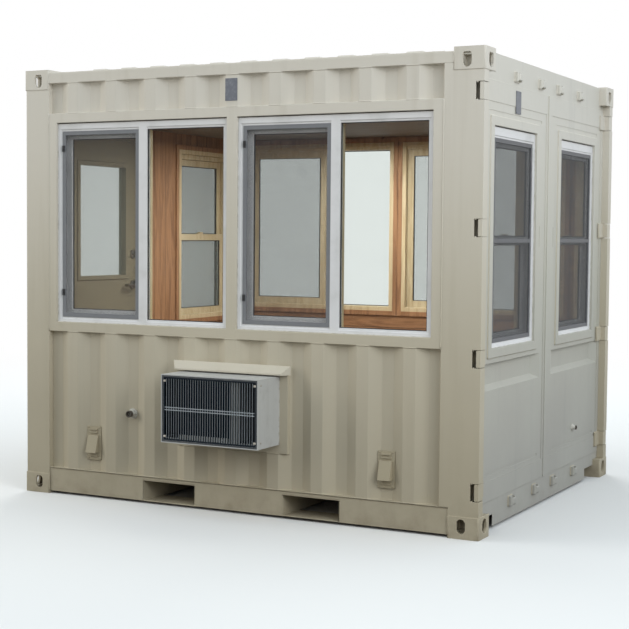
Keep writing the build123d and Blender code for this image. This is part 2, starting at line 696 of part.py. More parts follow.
def side_surround():
    """Welded tube frame between the posts, round two side windows."""
    y0 = -SURROUND_FRONT
    y1 = y0 + SURROUND_DEPTH
    frame = block(CLOSED_POST_INNER_X, DOOR_POST_INNER_X, y0, y1, BAND_BOTTOM, BAND_TOP)
    for left in WINDOW_LEFTS:
        frame -= block(left, left + WINDOW_WIDTH, y0 - PAST, y1 + PAST, WINDOW_BOTTOM, WINDOW_TOP)
    return frame


def door_window(across):
    """Y span of the window in a cargo door."""
    centre = across * (DOOR_POST_INNER_Y - DOOR_WINDOW_FROM_POST)
    return (centre - HUNG_WIDTH / 2, centre + HUNG_WIDTH / 2)


def hung_window_surrounds():
    """Tube frames round the two windows in the cargo doors and the one in the closed end."""
    frames = []
    face = HUNG_SURROUND_FACE
    for across in (-1, 1):
        low, high = door_window(across)
        frames.append(ring_x(low - face, high + face, HUNG_BOTTOM - face, HUNG_TOP + face, face, face, face,
                             CARGO_FACE - CARGO_DEPTH, HUNG_FRONT))
    low, high = END_WINDOW
    x0 = -END_FACE
    x1 = x0 + SURROUND_DEPTH
    frame = block(x0, x1, low - face, CLOSED_POST_INNER_Y, HUNG_BOTTOM - face, HUNG_TOP + face)
    frame -= block(x0 - PAST, x1 + PAST, low, high, HUNG_BOTTOM, HUNG_TOP)
    frames.append(frame)
    return frames


def slider_opening(left):
    """Inner edges and levels of a sliding window's frame."""
    return (left + SLIDER_FACE, left + WINDOW_WIDTH - SLIDER_FACE, WINDOW_BOTTOM + SLIDER_FACE,
            SLIDER_TOP - SLIDER_HEAD_FACE)


def slider_frames():
    """White frames of the four sliding windows, each with its fixed meeting stile."""
    frames = []
    y0 = -FRAME_FRONT
    for left in WINDOW_LEFTS:
        frame = ring_y(left, left + WINDOW_WIDTH, WINDOW_BOTTOM, SLIDER_TOP, SLIDER_FACE, SLIDER_FACE,
                       SLIDER_HEAD_FACE, y0, y0 + FRAME_DEPTH)
        x0, x1, z0, z1 = slider_opening(left)
        frame -= block(x0 - FRAME_STEP, x1 + FRAME_STEP, y0 - PAST, y0 + FRAME_STEP_DEPTH,
                       z0 - FRAME_STEP, z1 + FRAME_STEP)
        low, high = stile_edges(left)
        frame += block(low, high, y0, y0 + STILE_DEPTH, z0 - FRAME_STEP, z1 + FRAME_STEP)
        frames += both_sides(frame)
    return frames


def stile_edges(left):
    centre = left + WINDOW_WIDTH / 2 + STILE_OFFSET
    return (centre - STILE_WIDTH / 2, centre + STILE_WIDTH / 2)


def slider_sashes():
    """Sliding sash of each side window, on the inner track."""
    sashes = []
    y0 = -FRAME_FRONT + SASH_TRACK
    for left in WINDOW_LEFTS:
        x0, x1, z0, z1 = slider_opening(left)
        edge = stile_edges(left)[1]
        sashes += both_sides(ring_y(x0, edge, z0, z1, SASH_FACE, SASH_FACE, SASH_FACE, y0, y0 + SASH_DEPTH))
    return sashes


def hung_places():
    """Y span, outer face and inward direction of each hung window."""
    face = HUNG_FRONT - FRAME_RECESS
    end = FRAME_RECESS - END_FACE
    return ((*door_window(-1), face, -1), (*door_window(1), face, -1), (*END_WINDOW, end, 1))


def hung_opening(low, high):
    """Inner edges and levels of a hung window's frame."""
    return (low + HUNG_FACE, high - HUNG_FACE, HUNG_BOTTOM + HUNG_SILL_FACE, HUNG_FRAME_TOP - HUNG_HEAD_FACE)


def inward_span(face, inward, near, far):
    """Two X places, lowest first, at two depths behind a window's outer face."""
    return sorted((face + inward * near, face + inward * far))


def hung_window_frames():
    """White frames of the three hung windows, with a deep head."""
    frames = []
    for low, high, face, inward in hung_places():
        x0, x1 = inward_span(face, inward, 0, FRAME_DEPTH)
        frame = ring_x(low, high, HUNG_BOTTOM, HUNG_FRAME_TOP, HUNG_FACE, HUNG_SILL_FACE, HUNG_HEAD_FACE,
                       x0, x1)
        y0, y1, z0, z1 = hung_opening(low, high)
        x0, x1 = inward_span(face, inward, -PAST, FRAME_STEP_DEPTH)
        frame -= block(x0, x1, y0 - FRAME_STEP, y1 + FRAME_STEP, z0 - FRAME_STEP, z1 + FRAME_STEP)
        frames.append(frame)
    return frames


def hung_sash_levels(z0, z1):
    """Track, bottom and top of the outer upper sash and the inner lower one."""
    middle = (z0 + z1) / 2
    return ((UPPER_SASH_TRACK, middle - SASH_FACE / 2, z1), (LOWER_SASH_TRACK, z0, middle + SASH_FACE / 2))


def hung_window_sashes():
    """Upper and lower sash of each hung window, one behind the other."""
    sashes = []
    for low, high, face, inward in hung_places():
        y0, y1, z0, z1 = hung_opening(low, high)
        for track, base, head in hung_sash_levels(z0, z1):
            x0, x1 = inward_span(face, inward, track, track + SASH_DEPTH)
            sashes.append(ring_x(y0, y1, base, head, SASH_FACE, SASH_FACE, SASH_FACE, x0, x1))
    return sashes


def window_glass():
    """Panes of every fixed light and sash."""
    panes = []
    fixed = -FRAME_FRONT + GLASS_TRACK
    sliding = -FRAME_FRONT + SASH_TRACK + (SASH_DEPTH - GLASS) / 2
    for left in WINDOW_LEFTS:
        x0, x1, z0, z1 = slider_opening(left)
        edge = stile_edges(left)[1]
        panes += both_sides(block(edge, x1, fixed, fixed + GLASS, z0, z1))
        panes += both_sides(block(x0 + SASH_FACE, edge - SASH_FACE, sliding, sliding + GLASS,
                                  z0 + SASH_FACE, z1 - SASH_FACE))
    for low, high, face, inward in hung_places():
        y0, y1, z0, z1 = hung_opening(low, high)
        for track, base, head in hung_sash_levels(z0, z1):
            near = track + (SASH_DEPTH - GLASS) / 2
            x0, x1 = inward_span(face, inward, near, near + GLASS)
            panes.append(block(x0, x1, y0 + SASH_FACE, y1 - SASH_FACE, base + SASH_FACE, head - SASH_FACE))
    return panes


def insect_screens():
    """Screen frames: one half of each sliding window, and the whole of each hung window."""
    frames = []
    y0 = -FRAME_FRONT + SCREEN_TRACK
    for left in WINDOW_LEFTS:
        x0, x1, z0, z1 = slider_opening(left)
        edge = stile_edges(left)[0]
        frames += both_sides(ring_y(x0, edge, z0, z1, SCREEN_FACE, SCREEN_FACE, SCREEN_FACE,
                                    y0, y0 + SCREEN_DEPTH))
    for low, high, face, inward in hung_places():
        y0, y1, z0, z1 = hung_opening(low, high)
        x0, x1 = inward_span(face, inward, SCREEN_TRACK, SCREEN_TRACK + SCREEN_DEPTH)
        frame = ring_x(y0, y1, z0, z1, SCREEN_FACE, SCREEN_FACE, SCREEN_FACE, x0, x1)
        middle = (z0 + z1) / 2
        frame += block(x0, x1, y0 + SCREEN_FACE / 2, y1 - SCREEN_FACE / 2,
                       middle - SCREEN_FACE / 2, middle + SCREEN_FACE / 2)
        frames.append(frame)
    return frames


def side_lining(across):
    """Wood lining of a side wall with its two window openings."""
    y0 = across * LINING_FACE_Y
    y1 = across * (LINING_FACE_Y + LINING)
    lining = block(-LINING_FACE_CLOSED, LINING_FACE_DOORS, y0, y1, FLOOR_TOP, CEILING)
    for left in WINDOW_LEFTS:
        lining -= block(left, left + WINDOW_WIDTH, y0 - across * PAST, y1 + across * PAST,
                        WINDOW_BOTTOM, WINDOW_TOP)
    return lining


def front_lining():
    lining = side_lining(-1)
    lining -= block(AC_LEFT - AC_CLEAR, AC_RIGHT + AC_CLEAR, -SIDE, PAST - LINING_FACE_Y,
                    AC_BOTTOM - AC_CLEAR, AC_TOP + AC_CLEAR)
    return lining


def closed_end_lining():
    """Wood lining of the closed end, in one sheet beside the personnel door's frame."""
    x0 = -LINING_FACE_CLOSED - LINING
    x1 = -LINING_FACE_CLOSED
    edge = LINING_FACE_Y + LINING
    lining = block(x0, x1, -edge, edge, FLOOR_TOP, CEILING)
    lining -= block(x0 - PAST, x1 + PAST, FRAME_HINGE_Y, FRAME_LATCH_Y, FLOOR_TOP - PAST, FRAME_TOP)
    lining -= block(x0 - PAST, x1 + PAST, *END_WINDOW, HUNG_BOTTOM, HUNG_TOP)
    return lining


def door_end_lining():
    """Wood lining inside the cargo doors."""
    x0 = LINING_FACE_DOORS
    x1 = LINING_FACE_DOORS + LINING
    edge = LINING_FACE_Y + LINING
    lining = block(x0, x1, -edge, edge, FLOOR_TOP, CEILING)
    for across in (-1, 1):
        lining -= block(x0 - PAST, x1 + PAST, *door_window(across), HUNG_BOTTOM, HUNG_TOP)
    return lining


def ceiling_lining():
    edge = LINING_FACE_Y + LINING
    return block(-LINING_FACE_CLOSED - LINING, LINING_FACE_DOORS + LINING, -edge, edge,
                 CEILING, CEILING + LINING)


def window_trims():
    """Pine rings that line each window opening on the room side."""
    trims = []
    y0 = -FRAME_FRONT + FRAME_DEPTH
    y1 = -LINING_FACE_Y + TRIM_PROUD
    wide = TRIM_WIDTH
    for left in WINDOW_LEFTS:
        trims += both_sides(ring_y(left, left + WINDOW_WIDTH, WINDOW_BOTTOM, WINDOW_TOP, wide, wide, wide,
                                   y0, y1))
    for low, high, face, inward in hung_places():
        near = face + inward * FRAME_DEPTH
        room = LINING_FACE_DOORS - TRIM_PROUD if inward < 0 else TRIM_PROUD - LINING_FACE_CLOSED
        x0, x1 = sorted((near, room))
        trims.append(ring_x(low, high, HUNG_BOTTOM, HUNG_TOP, wide, wide, wide, x0, x1))
    return trims


def man_door_surround():
    """Steel tube frame round the doorway, welded to the corner post."""
    x0 = -END_FACE
    x1 = x0 + SURROUND_DEPTH
    frame = block(x0, x1, -CLOSED_POST_INNER_Y, FRAME_HINGE_Y, RAIL_TOP, SURROUND_TOP)
    frame += block(x0, x1, FRAME_LATCH_Y, SURROUND_LATCH_Y, RAIL_TOP, SURROUND_TOP)
    frame += block(x0, x1, FRAME_HINGE_Y, FRAME_LATCH_Y, FRAME_TOP, SURROUND_TOP)
    return frame


def man_door_frame():
    """Pressed steel door frame with a stop behind the leaf, and a threshold."""
    x0 = LEAF_OUTER
    x1 = -LINING_FACE_CLOSED
    frame = block(x0, x1, FRAME_HINGE_Y, FRAME_LATCH_Y, RAIL_TOP, FRAME_TOP)
    frame -= block(x0 - PAST, LEAF_INNER + STOP_GAP, OPENING_HINGE_Y, OPENING_LATCH_Y,
                   THRESHOLD_TOP, OPENING_TOP)
    frame -= block(x0, x1 + PAST, OPENING_HINGE_Y + JAMB_STOP, OPENING_LATCH_Y - JAMB_STOP,
                   THRESHOLD_TOP, OPENING_TOP - JAMB_STOP)
    frame -= block(END_SILL_FACE + END_MEMBER, x1 + PAST, FRAME_HINGE_Y - PAST, FRAME_LATCH_Y + PAST,
                   RAIL_TOP - PAST, FLOOR_TOP)
    return frame


def man_door():
    """Insulated steel leaf with a glazed upper half and bevelled glazing mouldings."""
    leaf = block(LEAF_OUTER, LEAF_INNER, LEAF_HINGE_Y, LEAF_LATCH_Y, LEAF_BOTTOM, LEAF_TOP)
    low = LEAF_CENTRE_Y - LITE_WIDTH / 2
    high = LEAF_CENTRE_Y + LITE_WIDTH / 2
    face = LITE_MOULDING
    outer = LEAF_OUTER - LITE_PROUD
    inner = LEAF_INNER + LITE_PROUD
    for x0, x1, axis_end in ((outer, LEAF_OUTER, 0), (LEAF_INNER, inner, -1)):
        moulding = block(x0, x1, low - face, high + face, LITE_BOTTOM - face, LITE_TOP + face)
        leaf += chamfer(moulding.faces().sort_by(Axis.X)[axis_end].edges(), LITE_BEVEL)
    leaf -= block(outer - PAST, inner + PAST, low, high, LITE_BOTTOM, LITE_TOP)
    bore = Cylinder(SPINDLE_RADIUS + SPINDLE_CLEARANCE, LEAF_THICK + 2 * PAST)
    leaf -= Pos((LEAF_OUTER + LEAF_INNER) / 2, SPINDLE_Y, LEVER_Z) * Rot(0, 90, 0) * bore
    return leaf


def man_door_glass():
    middle = (LEAF_OUTER + LEAF_INNER) / 2
    low = LEAF_CENTRE_Y - LITE_WIDTH / 2
    return block(middle - LITE_GLASS / 2, middle + LITE_GLASS / 2, low, low + LITE_WIDTH,
                 LITE_BOTTOM, LITE_TOP)


def rose(face, outward, level, bore):
    """A round lock plate on one face of the leaf, with its outer edge bevelled."""
    disc = Cylinder(ROSE_RADIUS, ROSE_THICK)
    disc = chamfer(disc.edges().sort_by(Axis.Z)[-1], ROSE_BEVEL)
    if bore:
        disc -= Cylinder(bore, ROSE_THICK + 2 * PAST)
    return Pos(face + outward * ROSE_THICK / 2, SPINDLE_Y, level) * Rot(0, outward * 90, 0) * disc


def man_door_locks():
    """Roses of the lever handles, the deadbolt's two plates and its thumb turn."""
    locks = []
    for face, outward in ((LEAF_OUTER, -1), (LEAF_INNER, 1)):
        locks.append(rose(face, outward, LEVER_Z, SPINDLE_RADIUS + SPINDLE_CLEARANCE))
        plate = rose(face, outward, DEADBOLT_Z, 0)
        if outward > 0:
            turn = Box(THUMB_TURN_REACH, THUMB_TURN, THUMB_TURN_THICK)
            plate += Pos(face + ROSE_THICK + THUMB_TURN_REACH / 2, SPINDLE_Y, DEADBOLT_Z) * turn
        locks.append(plate)
    return locks


def door_lever():
    """Two round lever handles on one spindle, each with its tip turned back to the leaf."""
    x0 = LEAF_OUTER - LEVER_REACH
    x1 = LEAF_INNER + LEVER_REACH
    spindle = Rot(0, 90, 0) * Cylinder(SPINDLE_RADIUS, x1 - x0)
    lever = Pos((x0 + x1) / 2, SPINDLE_Y, LEVER_Z) * spindle
    tip_y = SPINDLE_Y - LEVER_LENGTH
    bar = Rot(90, 0, 0) * Cylinder(LEVER_RADIUS, LEVER_LENGTH)
    tip = Rot(0, 90, 0) * Cylinder(LEVER_RADIUS, LEVER_RETURN)
    knuckle = Sphere(LEVER_RADIUS)
    for x, outward in ((x0, -1), (x1, 1)):
        lever += Pos(x, (SPINDLE_Y + tip_y) / 2, LEVER_Z) * bar
        lever += Pos(x, SPINDLE_Y, LEVER_Z) * knuckle
        lever += Pos(x, tip_y, LEVER_Z) * knuckle
        lever += Pos(x - outward * LEVER_RETURN / 2, tip_y, LEVER_Z) * tip
    return lever


def man_door_hinges():
    """Hinge barrels at the outer corner of the leaf."""
    barrels = []
    x = LEAF_OUTER - HINGE_RADIUS - HINGE_SPACE
    y = LEAF_HINGE_Y - LEAF_GAP / 2
    low = LEAF_BOTTOM + HINGE_INSET
    step = (LEAF_TOP - HINGE_INSET - low) / (HINGE_COUNT - 1)
    for index in range(HINGE_COUNT):
        level = low + index * step
        barrel = Pos(x, y, level) * Cylinder(HINGE_RADIUS, HINGE_HEIGHT)
        barrel += block(x, LEAF_OUTER + HINGE_LEAF, LEAF_HINGE_Y - HINGE_PLATE, LEAF_HINGE_Y,
                        level - HINGE_HEIGHT / 2, level + HINGE_HEIGHT / 2)
        barrels.append(barrel)
    return barrels


def trough(face, y0, y1, z0, z1):
    """A pressed recess with long sloping ends, a steep top and a gentler bottom."""
    back = face - TROUGH_DEPTH
    mouth = [(face, y0, z0), (face, y1, z0), (face, y1, z1), (face, y0, z1)]
    near = y0 + TROUGH_END_SLOPE
    far = y1 - TROUGH_END_SLOPE
    low = z0 + TROUGH_BOTTOM_SLOPE
    high = z1 - TROUGH_TOP_SLOPE
    bed = [(back, near, low), (back, far, low), (back, far, high), (back, near, high)]
    return loft([make_face(Polyline(*mouth, close=True)), make_face(Polyline(*bed, close=True))], ruled=True)


def cargo_door(marks):
    """The front cargo door: a tube frame with a pressed sheet, a window opening and two short slits."""
    y0 = -DOOR_POST_INNER_Y + CARGO_GAP
    y1 = -CARGO_MEETING_GAP / 2
    z0 = CARGO_BOTTOM
    z1 = CARGO_TOP
    face = CARGO_FACE
    leaf = ring_x(y0, y1, z0, z1, CARGO_STILE, CARGO_RAIL, CARGO_RAIL, face - CARGO_DEPTH, face)
    sheet = face - PANEL_RECESS
    leaf += block(sheet - PANEL_SHEET, sheet, y0 + CARGO_STILE / 2, y1 - CARGO_STILE / 2,
                  z0 + CARGO_RAIL / 2, z1 - CARGO_RAIL / 2)
    left = y0 + TROUGH_HINGE_MARGIN
    right = y1 - TROUGH_MEETING_MARGIN
    low = z0 + TROUGH_LOW
    high = low + TROUGH_HEIGHT
    wall = PANEL_SHEET
    leaf += trough(sheet - wall, left - wall, right + wall, low - wall, high + wall)
    leaf -= trough(sheet, left, right, low, high)
    swage = SlotOverall(y1 - y0 - 2 * SWAGE_MARGIN, SWAGE_WIDTH)
    for level in (z0 + LOW_SWAGE, z1 - HIGH_SWAGE):
        leaf -= extrude(facing_end(sheet, (y0 + y1) / 2, level) * swage, -SWAGE_DEPTH)
    hole_low, hole_high = door_window(-1)
    frame = HUNG_SURROUND_FACE
    leaf -= block(face - CARGO_DEPTH - PAST, face + PAST, hole_low - frame, hole_high + frame,
                  HUNG_BOTTOM - frame, HUNG_TOP + frame)
    for place in marks:
        mark = Rot(0, 0, 90) * SlotOverall(MARK_HEIGHT, MARK_WIDTH)
        leaf -= extrude(facing_end(sheet, -place, MARK_Z) * mark, -SWAGE_DEPTH)
    return leaf


def cargo_door_front():
    """The front leaf, with the flat strip that covers the meeting gap."""
    strip = block(CARGO_FACE, CARGO_FACE + MEETING_STRIP_THICK, -MEETING_STRIP / 2, MEETING_STRIP / 2,
                  CARGO_BOTTOM, CARGO_TOP)
    return cargo_door(FRONT_MARKS) + strip


def cargo_door_hinges():
    """Hinge lugs at the posts, welded to short straps on the doors."""
    hinges = []
    outer_y = HINGE_LUG_EDGE - POST_FACE_Y
    strap_y = -DOOR_POST_INNER_Y - HINGE_STRAP_LAP
    for level in HINGE_LEVELS:
        z0 = level - HINGE_LUG_HEIGHT / 2
        z1 = level + HINGE_LUG_HEIGHT / 2
        lug = block(END - HINGE_LUG_BACK, POST_FACE_X - HINGE_LUG_EDGE, outer_y, strap_y, z0, z1)
        lug += block(CARGO_FACE, POST_FACE_X - HINGE_LUG_EDGE, strap_y, HINGE_LUG_EDGE - DOOR_POST_INNER_Y,
                     z0, z1)
        lug += block(CARGO_FACE, CARGO_FACE + HINGE_STRAP_THICK,
                     strap_y, HINGE_STRAP_REACH - DOOR_POST_INNER_Y, z0, z1)
        hinges += both_sides(lug)
    return hinges


def cam_keepers():
    """Cam keepers left on the header and the sill, each a bevelled block with a pocket."""
    keepers = []
    for level in (SILL_TOP - KEEPER_FROM_DOOR, DOOR_HEADER_BOTTOM + KEEPER_FROM_DOOR):
        low = level - KEEPER_HEIGHT / 2
        for centre in KEEPER_Y:
            y0 = centre - KEEPER_WIDTH / 2
            y1 = centre + KEEPER_WIDTH / 2
            keeper = block(DOOR_FACE, DOOR_FACE + KEEPER_DEPTH, y0, y1, low, low + KEEPER_HEIGHT)
            keeper = chamfer(keeper.faces().sort_by(Axis.X)[-1].edges(), KEEPER_BEVEL)
            keeper -= block(DOOR_FACE + PLATE, DOOR_FACE + KEEPER_DEPTH - PLATE,
                            y0 + 2 * PLATE, y1 - 2 * PLATE, low - PAST, low + KEEPER_HEIGHT + PAST)
            keepers += both_sides(keeper)
    return keepers


def ac_surround():
    """Tube frame round the air conditioner's cut-out."""
    face = AC_SURROUND_FACE
    reach = face + AC_CLEAR
    y0 = -WALL_FACE
    return ring_y(AC_LEFT - reach, AC_RIGHT + reach, AC_BOTTOM - face, AC_TOP + reach, face, face, face,
                  y0, y0 + SURROUND_DEPTH)


def ac_case():
    """Sheet metal case, open at the outer face, with the plates that hold the coil."""
    y0 = AC_FACE
    y1 = AC_FACE + AC_DEPTH
    z0 = AC_BOTTOM + AC_SHELL
    z1 = AC_TOP - AC_SHELL
    case = block(AC_LEFT, AC_RIGHT, y0, y1, AC_BOTTOM, AC_TOP)
    case -= block(AC_LEFT + AC_SHELL, AC_RIGHT - AC_SHELL, y0 - PAST, y1 - AC_SHELL, z0, z1)
    case += ring_y(AC_LEFT, AC_RIGHT, AC_BOTTOM, AC_TOP, AC_FLANGE, AC_FLANGE, AC_FLANGE,
                   y0, y0 + AC_FLANGE_DEPTH)
    coil_left = AC_LEFT + COIL_LEFT
    coil_right = coil_left + COIL_WIDTH
    front = y0 + COIL_BACK
    back = front + COIL_DEPTH
    for x0, x1 in ((coil_left - END_PLATE_WIDTH, coil_left), (coil_right, coil_right + DIVIDER_WIDTH)):
        case += block(x0, x1, front, front + AC_SHELL, z0, z1)
        case += block(x0, x0 + AC_SHELL, front, back, z0, z1)
        case += block(x1 - AC_SHELL, x1, front, back, z0, z1)
    case += block(AC_LEFT + AC_SHELL, AC_RIGHT - AC_SHELL, y0 + AC_FLANGE_DEPTH, front, z0, z0 + PAN_HEIGHT)
    return case


def ac_coil():
    """Finned coil block between the two plates of the case."""
    x0 = AC_LEFT + COIL_LEFT
    y0 = AC_FACE + COIL_BACK
    return block(x0, x0 + COIL_WIDTH, y0, y0 + COIL_DEPTH, AC_BOTTOM + AC_SHELL, AC_TOP - AC_SHELL)


def ac_grille():
    """Upright fins in a frame, with two rods across the middle."""
    y0 = AC_FACE + GRILLE_SETBACK
    y1 = y0 + GRILLE_DEPTH
    x0 = AC_LEFT + AC_FLANGE
    x1 = AC_RIGHT - AC_FLANGE
    z0 = AC_BOTTOM + AC_FLANGE
    z1 = AC_TOP - AC_FLANGE
    border = GRILLE_BORDER
    grille = ring_y(x0, x1, z0, z1, border, border, border, y0, y1)
    middle = (z0 + z1) / 2
    for level in (middle - ROD_SPACING / 2, middle + ROD_SPACING / 2):
        grille += block(x0 + border / 2, x1 - border / 2, y0, y1, level - ROD / 2, level + ROD / 2)
    count = int((x1 - x0 - 2 * border) // FIN_PITCH)
    start = (x0 + x1) / 2 - (count - 1) * FIN_PITCH / 2
    for index in range(count):
        x = start + index * FIN_PITCH
        grille += block(x - FIN / 2, x + FIN / 2, y0, y1, z0 + border / 2, z1 - border / 2)
    return grille


def hood_form(half, reach, fall, lip):
    """A hip-ended wedge with its back to the wall, as wide as twice the given half at the back."""
    profile = Polyline((0, 0), (-reach, -fall), (-reach, -fall - lip), (0, -fall - lip), close=True)
    wedge = extrude(Plane.YZ * make_face(profile), half, both=True)
    front = half - HOOD_MITRE * reach / HOOD_REACH
    plan = Polyline((-half, 0), (-front, -reach), (front, -reach), (half, 0), close=True)
    return wedge & Pos(0, 0, -fall - lip) * extrude(make_face(plan), fall + lip)


def ac_hood():
    """Folded drip hood over the air conditioner, hollow below, with mitred ends."""
    half = AC_WIDTH / 2 + HOOD_OVERHANG
    full = HOOD_FALL + HOOD_LIP
    outer = hood_form(half, HOOD_REACH, HOOD_FALL, HOOD_LIP)
    inner = hood_form(half - 2 * HOOD_SHEET, HOOD_REACH - HOOD_SHEET, HOOD_FALL - HOOD_SHEET, HOOD_LIP)
    hood = outer - Pos(0, 0, -2 * HOOD_SHEET) * inner
    return Pos(AC_CENTRE_X, -WALL_FACE, AC_TOP + HOOD_GAP + full) * hood


def pan_centre(index):
    """Middle of a pan of the side wall, counted from the closed end."""
    return WALL_CENTRE_X + (index - SIDE_COUNT / 2) * SIDE_PITCH


def cable_cover():
    """Plate with ridges and a scoop that opens downwards, its foot at the sketch origin."""
    outline = Pos(0, COVER_HEIGHT / 2) * RectangleRounded(COVER_WIDTH, COVER_HEIGHT, COVER_ROUND)
    plate = extrude(outline, COVER_PLATE)
    scoop = scoop_form(SCOOP_WIDTH, SCOOP_TOP, 0)
    scoop -= scoop_form(SCOOP_WIDTH - 2 * SCOOP_WALL, SCOOP_TOP - SCOOP_WALL, SCOOP_WALL)
    cover = plate + scoop
    for level in RIDGE_LEVELS:
        ridge = extrude(Pos(0, level) * Rectangle(RIDGE_WIDTH, RIDGE_HEIGHT), RIDGE_PROUD)
        cover += Pos(0, 0, COVER_PLATE) * ridge
    return cover


def scoop_form(width, top, inset):
    """Solid of the scoop, seen from its side and pushed out to its width."""
    low = SCOOP_BOTTOM - (PAST if inset else 0)
    reach = COVER_PLATE + SCOOP_REACH - inset
    shoulder = COVER_PLATE + SCOOP_SHOULDER - inset
    start = COVER_PLATE if inset else 0
    side = Polyline((low, start), (top, start), (top, shoulder), (low, reach), close=True)
    return Plane.YZ * extrude(make_face(side), width / 2, both=True)


def cable_covers():
    """Weatherproof covers over two cable entries, each seated between the slopes of a pan."""
    covers = []
    seat = WALL_FACE - SIDE_DEPTH + (COVER_WIDTH - SIDE_INNER) / 2 * SIDE_DEPTH / SIDE_SLOPE
    for index in (COVER_PAN, SIDE_COUNT - COVER_PAN):
        x = pan_centre(index)
        cover = facing_front(x, -seat, COVER_BOTTOM) * cable_cover()
        half = SIDE_INNER / 2 - COVER_PLATE
        cover += block(x - half, x + half, -seat, -WALL_FACE + SIDE_DEPTH,
                       COVER_BOTTOM + COVER_ROUND, COVER_BOTTOM + COVER_HEIGHT - COVER_ROUND)
        covers.append(cover)
    return covers


def pipe_end(flange_radius, flange, pipe, bore, reach):
    """A flanged pipe end that stands on its flange."""
    stub = Pos(0, 0, flange / 2) * Cylinder(flange_radius, flange)
    stub += Pos(0, 0, reach / 2) * Cylinder(pipe, reach)
    return stub - Pos(0, 0, flange + reach / 2) * Cylinder(bore, reach)


def pipe_stub():
    """Threaded pipe end with a hexagon in a pan of the front wall, and a small one on the rear door."""
    stub = pipe_end(STUB_FLANGE_RADIUS, STUB_FLANGE, STUB_RADIUS, STUB_BORE, STUB_REACH)
    collar = extrude(RegularPolygon(STUB_HEX_RADIUS, 6), STUB_HEX_THICK) - Cylinder(STUB_BORE, 3 * STUB_HEX_THICK)
    stub += Pos(0, 0, STUB_FLANGE) * collar
    in_pan = facing_front(pan_centre(STUB_PAN), -WALL_FACE + SIDE_DEPTH, STUB_Z) * stub
    small = pipe_end(DOOR_STUB_RADIUS, DOOR_STUB_FLANGE, DOOR_STUB_PIPE, DOOR_STUB_BORE, DOOR_STUB_REACH)
    on_door = facing_end(CARGO_FACE - PANEL_RECESS, DOOR_STUB_Y, DOOR_STUB_Z) * small
    return [in_pan, on_door]


os.makedirs("parts", exist_ok=True)
write("bottom_corner_castings", corner_castings(False))
write("top_corner_castings", corner_castings(True))
write("closed_end_posts", closed_end_posts())
write("door_end_posts", door_end_posts())
write("bottom_side_rails", bottom_side_rails())
write("top_side_rails", top_side_rails())
write("closed_end_sill", closed_end_sill())
write("closed_end_header", closed_end_header())
write("door_sill", door_sill())
write("door_header", door_header())
write("fork_pockets", fork_pockets())
write("cross_members", cross_members())
write("floor", floor())
write("roof_panel", roof_panel())
write("front_wall", front_wall())
write("rear_wall", rear_wall())
write("closed_end_wall_rear", closed_end_wall_rear())
write("closed_end_wall_over_door", closed_end_wall_over_door())
write("front_window_surround", side_surround())
write("rear_window_surround", mirror(side_surround(), about=Plane.XZ))
write("hung_window_surrounds", hung_window_surrounds())
write("slider_frames", slider_frames())
write("slider_sashes", slider_sashes())
write("hung_window_frames", hung_window_frames())
write("hung_window_sashes", hung_window_sashes())
write("window_glass", window_glass())
write("insect_screens", insect_screens())
write("front_lining", front_lining())
write("rear_lining", side_lining(1))
write("closed_end_lining", closed_end_lining())
write("door_end_lining", door_end_lining())
write("ceiling_lining", ceiling_lining())
write("window_trims", window_trims())
write("man_door_surround", man_door_surround())
write("man_door_frame", man_door_frame())
write("man_door", man_door())
write("man_door_glass", man_door_glass())
write("man_door_locks", man_door_locks())
write("door_lever", door_lever())
write("man_door_hinges", man_door_hinges())
write("cargo_door_front", cargo_door_front())
write("cargo_door_rear", mirror(cargo_door(REAR_MARKS), about=Plane.XZ))
write("cargo_door_hinges", cargo_door_hinges())
write("cam_keepers", cam_keepers())
write("ac_surround", ac_surround())
write("ac_case", ac_case())
write("ac_coil", ac_coil())
write("ac_grille", ac_grille())
write("ac_hood", ac_hood())
write("cable_covers", cable_covers())
write("pipe_stub", pipe_stub())
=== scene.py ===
"""The look of a guard booth made from a ten foot steel container, built round its CAD frame."""
import math
import random

import bmesh
import bpy
from mathutils import Matrix, Vector


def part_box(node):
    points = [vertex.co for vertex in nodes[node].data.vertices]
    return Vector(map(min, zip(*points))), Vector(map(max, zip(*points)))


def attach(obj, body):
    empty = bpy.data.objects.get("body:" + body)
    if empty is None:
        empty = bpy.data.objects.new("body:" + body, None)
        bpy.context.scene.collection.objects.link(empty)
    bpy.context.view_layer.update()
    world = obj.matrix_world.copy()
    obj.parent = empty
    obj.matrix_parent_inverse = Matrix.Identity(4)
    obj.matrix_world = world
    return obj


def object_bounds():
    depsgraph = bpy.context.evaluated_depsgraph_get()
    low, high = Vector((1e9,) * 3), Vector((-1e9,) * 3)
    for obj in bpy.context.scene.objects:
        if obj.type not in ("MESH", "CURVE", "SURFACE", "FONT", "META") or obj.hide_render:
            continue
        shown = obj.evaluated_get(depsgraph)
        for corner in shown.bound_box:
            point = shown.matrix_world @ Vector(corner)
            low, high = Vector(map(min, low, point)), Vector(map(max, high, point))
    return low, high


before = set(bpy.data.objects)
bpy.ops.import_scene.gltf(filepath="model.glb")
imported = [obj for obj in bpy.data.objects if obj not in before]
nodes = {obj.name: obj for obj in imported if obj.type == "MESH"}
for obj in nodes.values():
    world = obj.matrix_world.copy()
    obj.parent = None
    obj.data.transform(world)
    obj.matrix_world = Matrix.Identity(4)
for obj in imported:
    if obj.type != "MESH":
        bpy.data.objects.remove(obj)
cad_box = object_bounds()


# The viewpoint. A 35 mm camera stands off the booth's front right corner at eye height, a
# little tilted, where the photograph was taken.
EYE = Vector((4.1008, -8.1703, 1.6026))
EYE_YAW = 0.4763
EYE_PITCH = -0.0560
EYE_ROLL = -0.0084
EYE_LENS = 81.03
EYE_FILM = 36

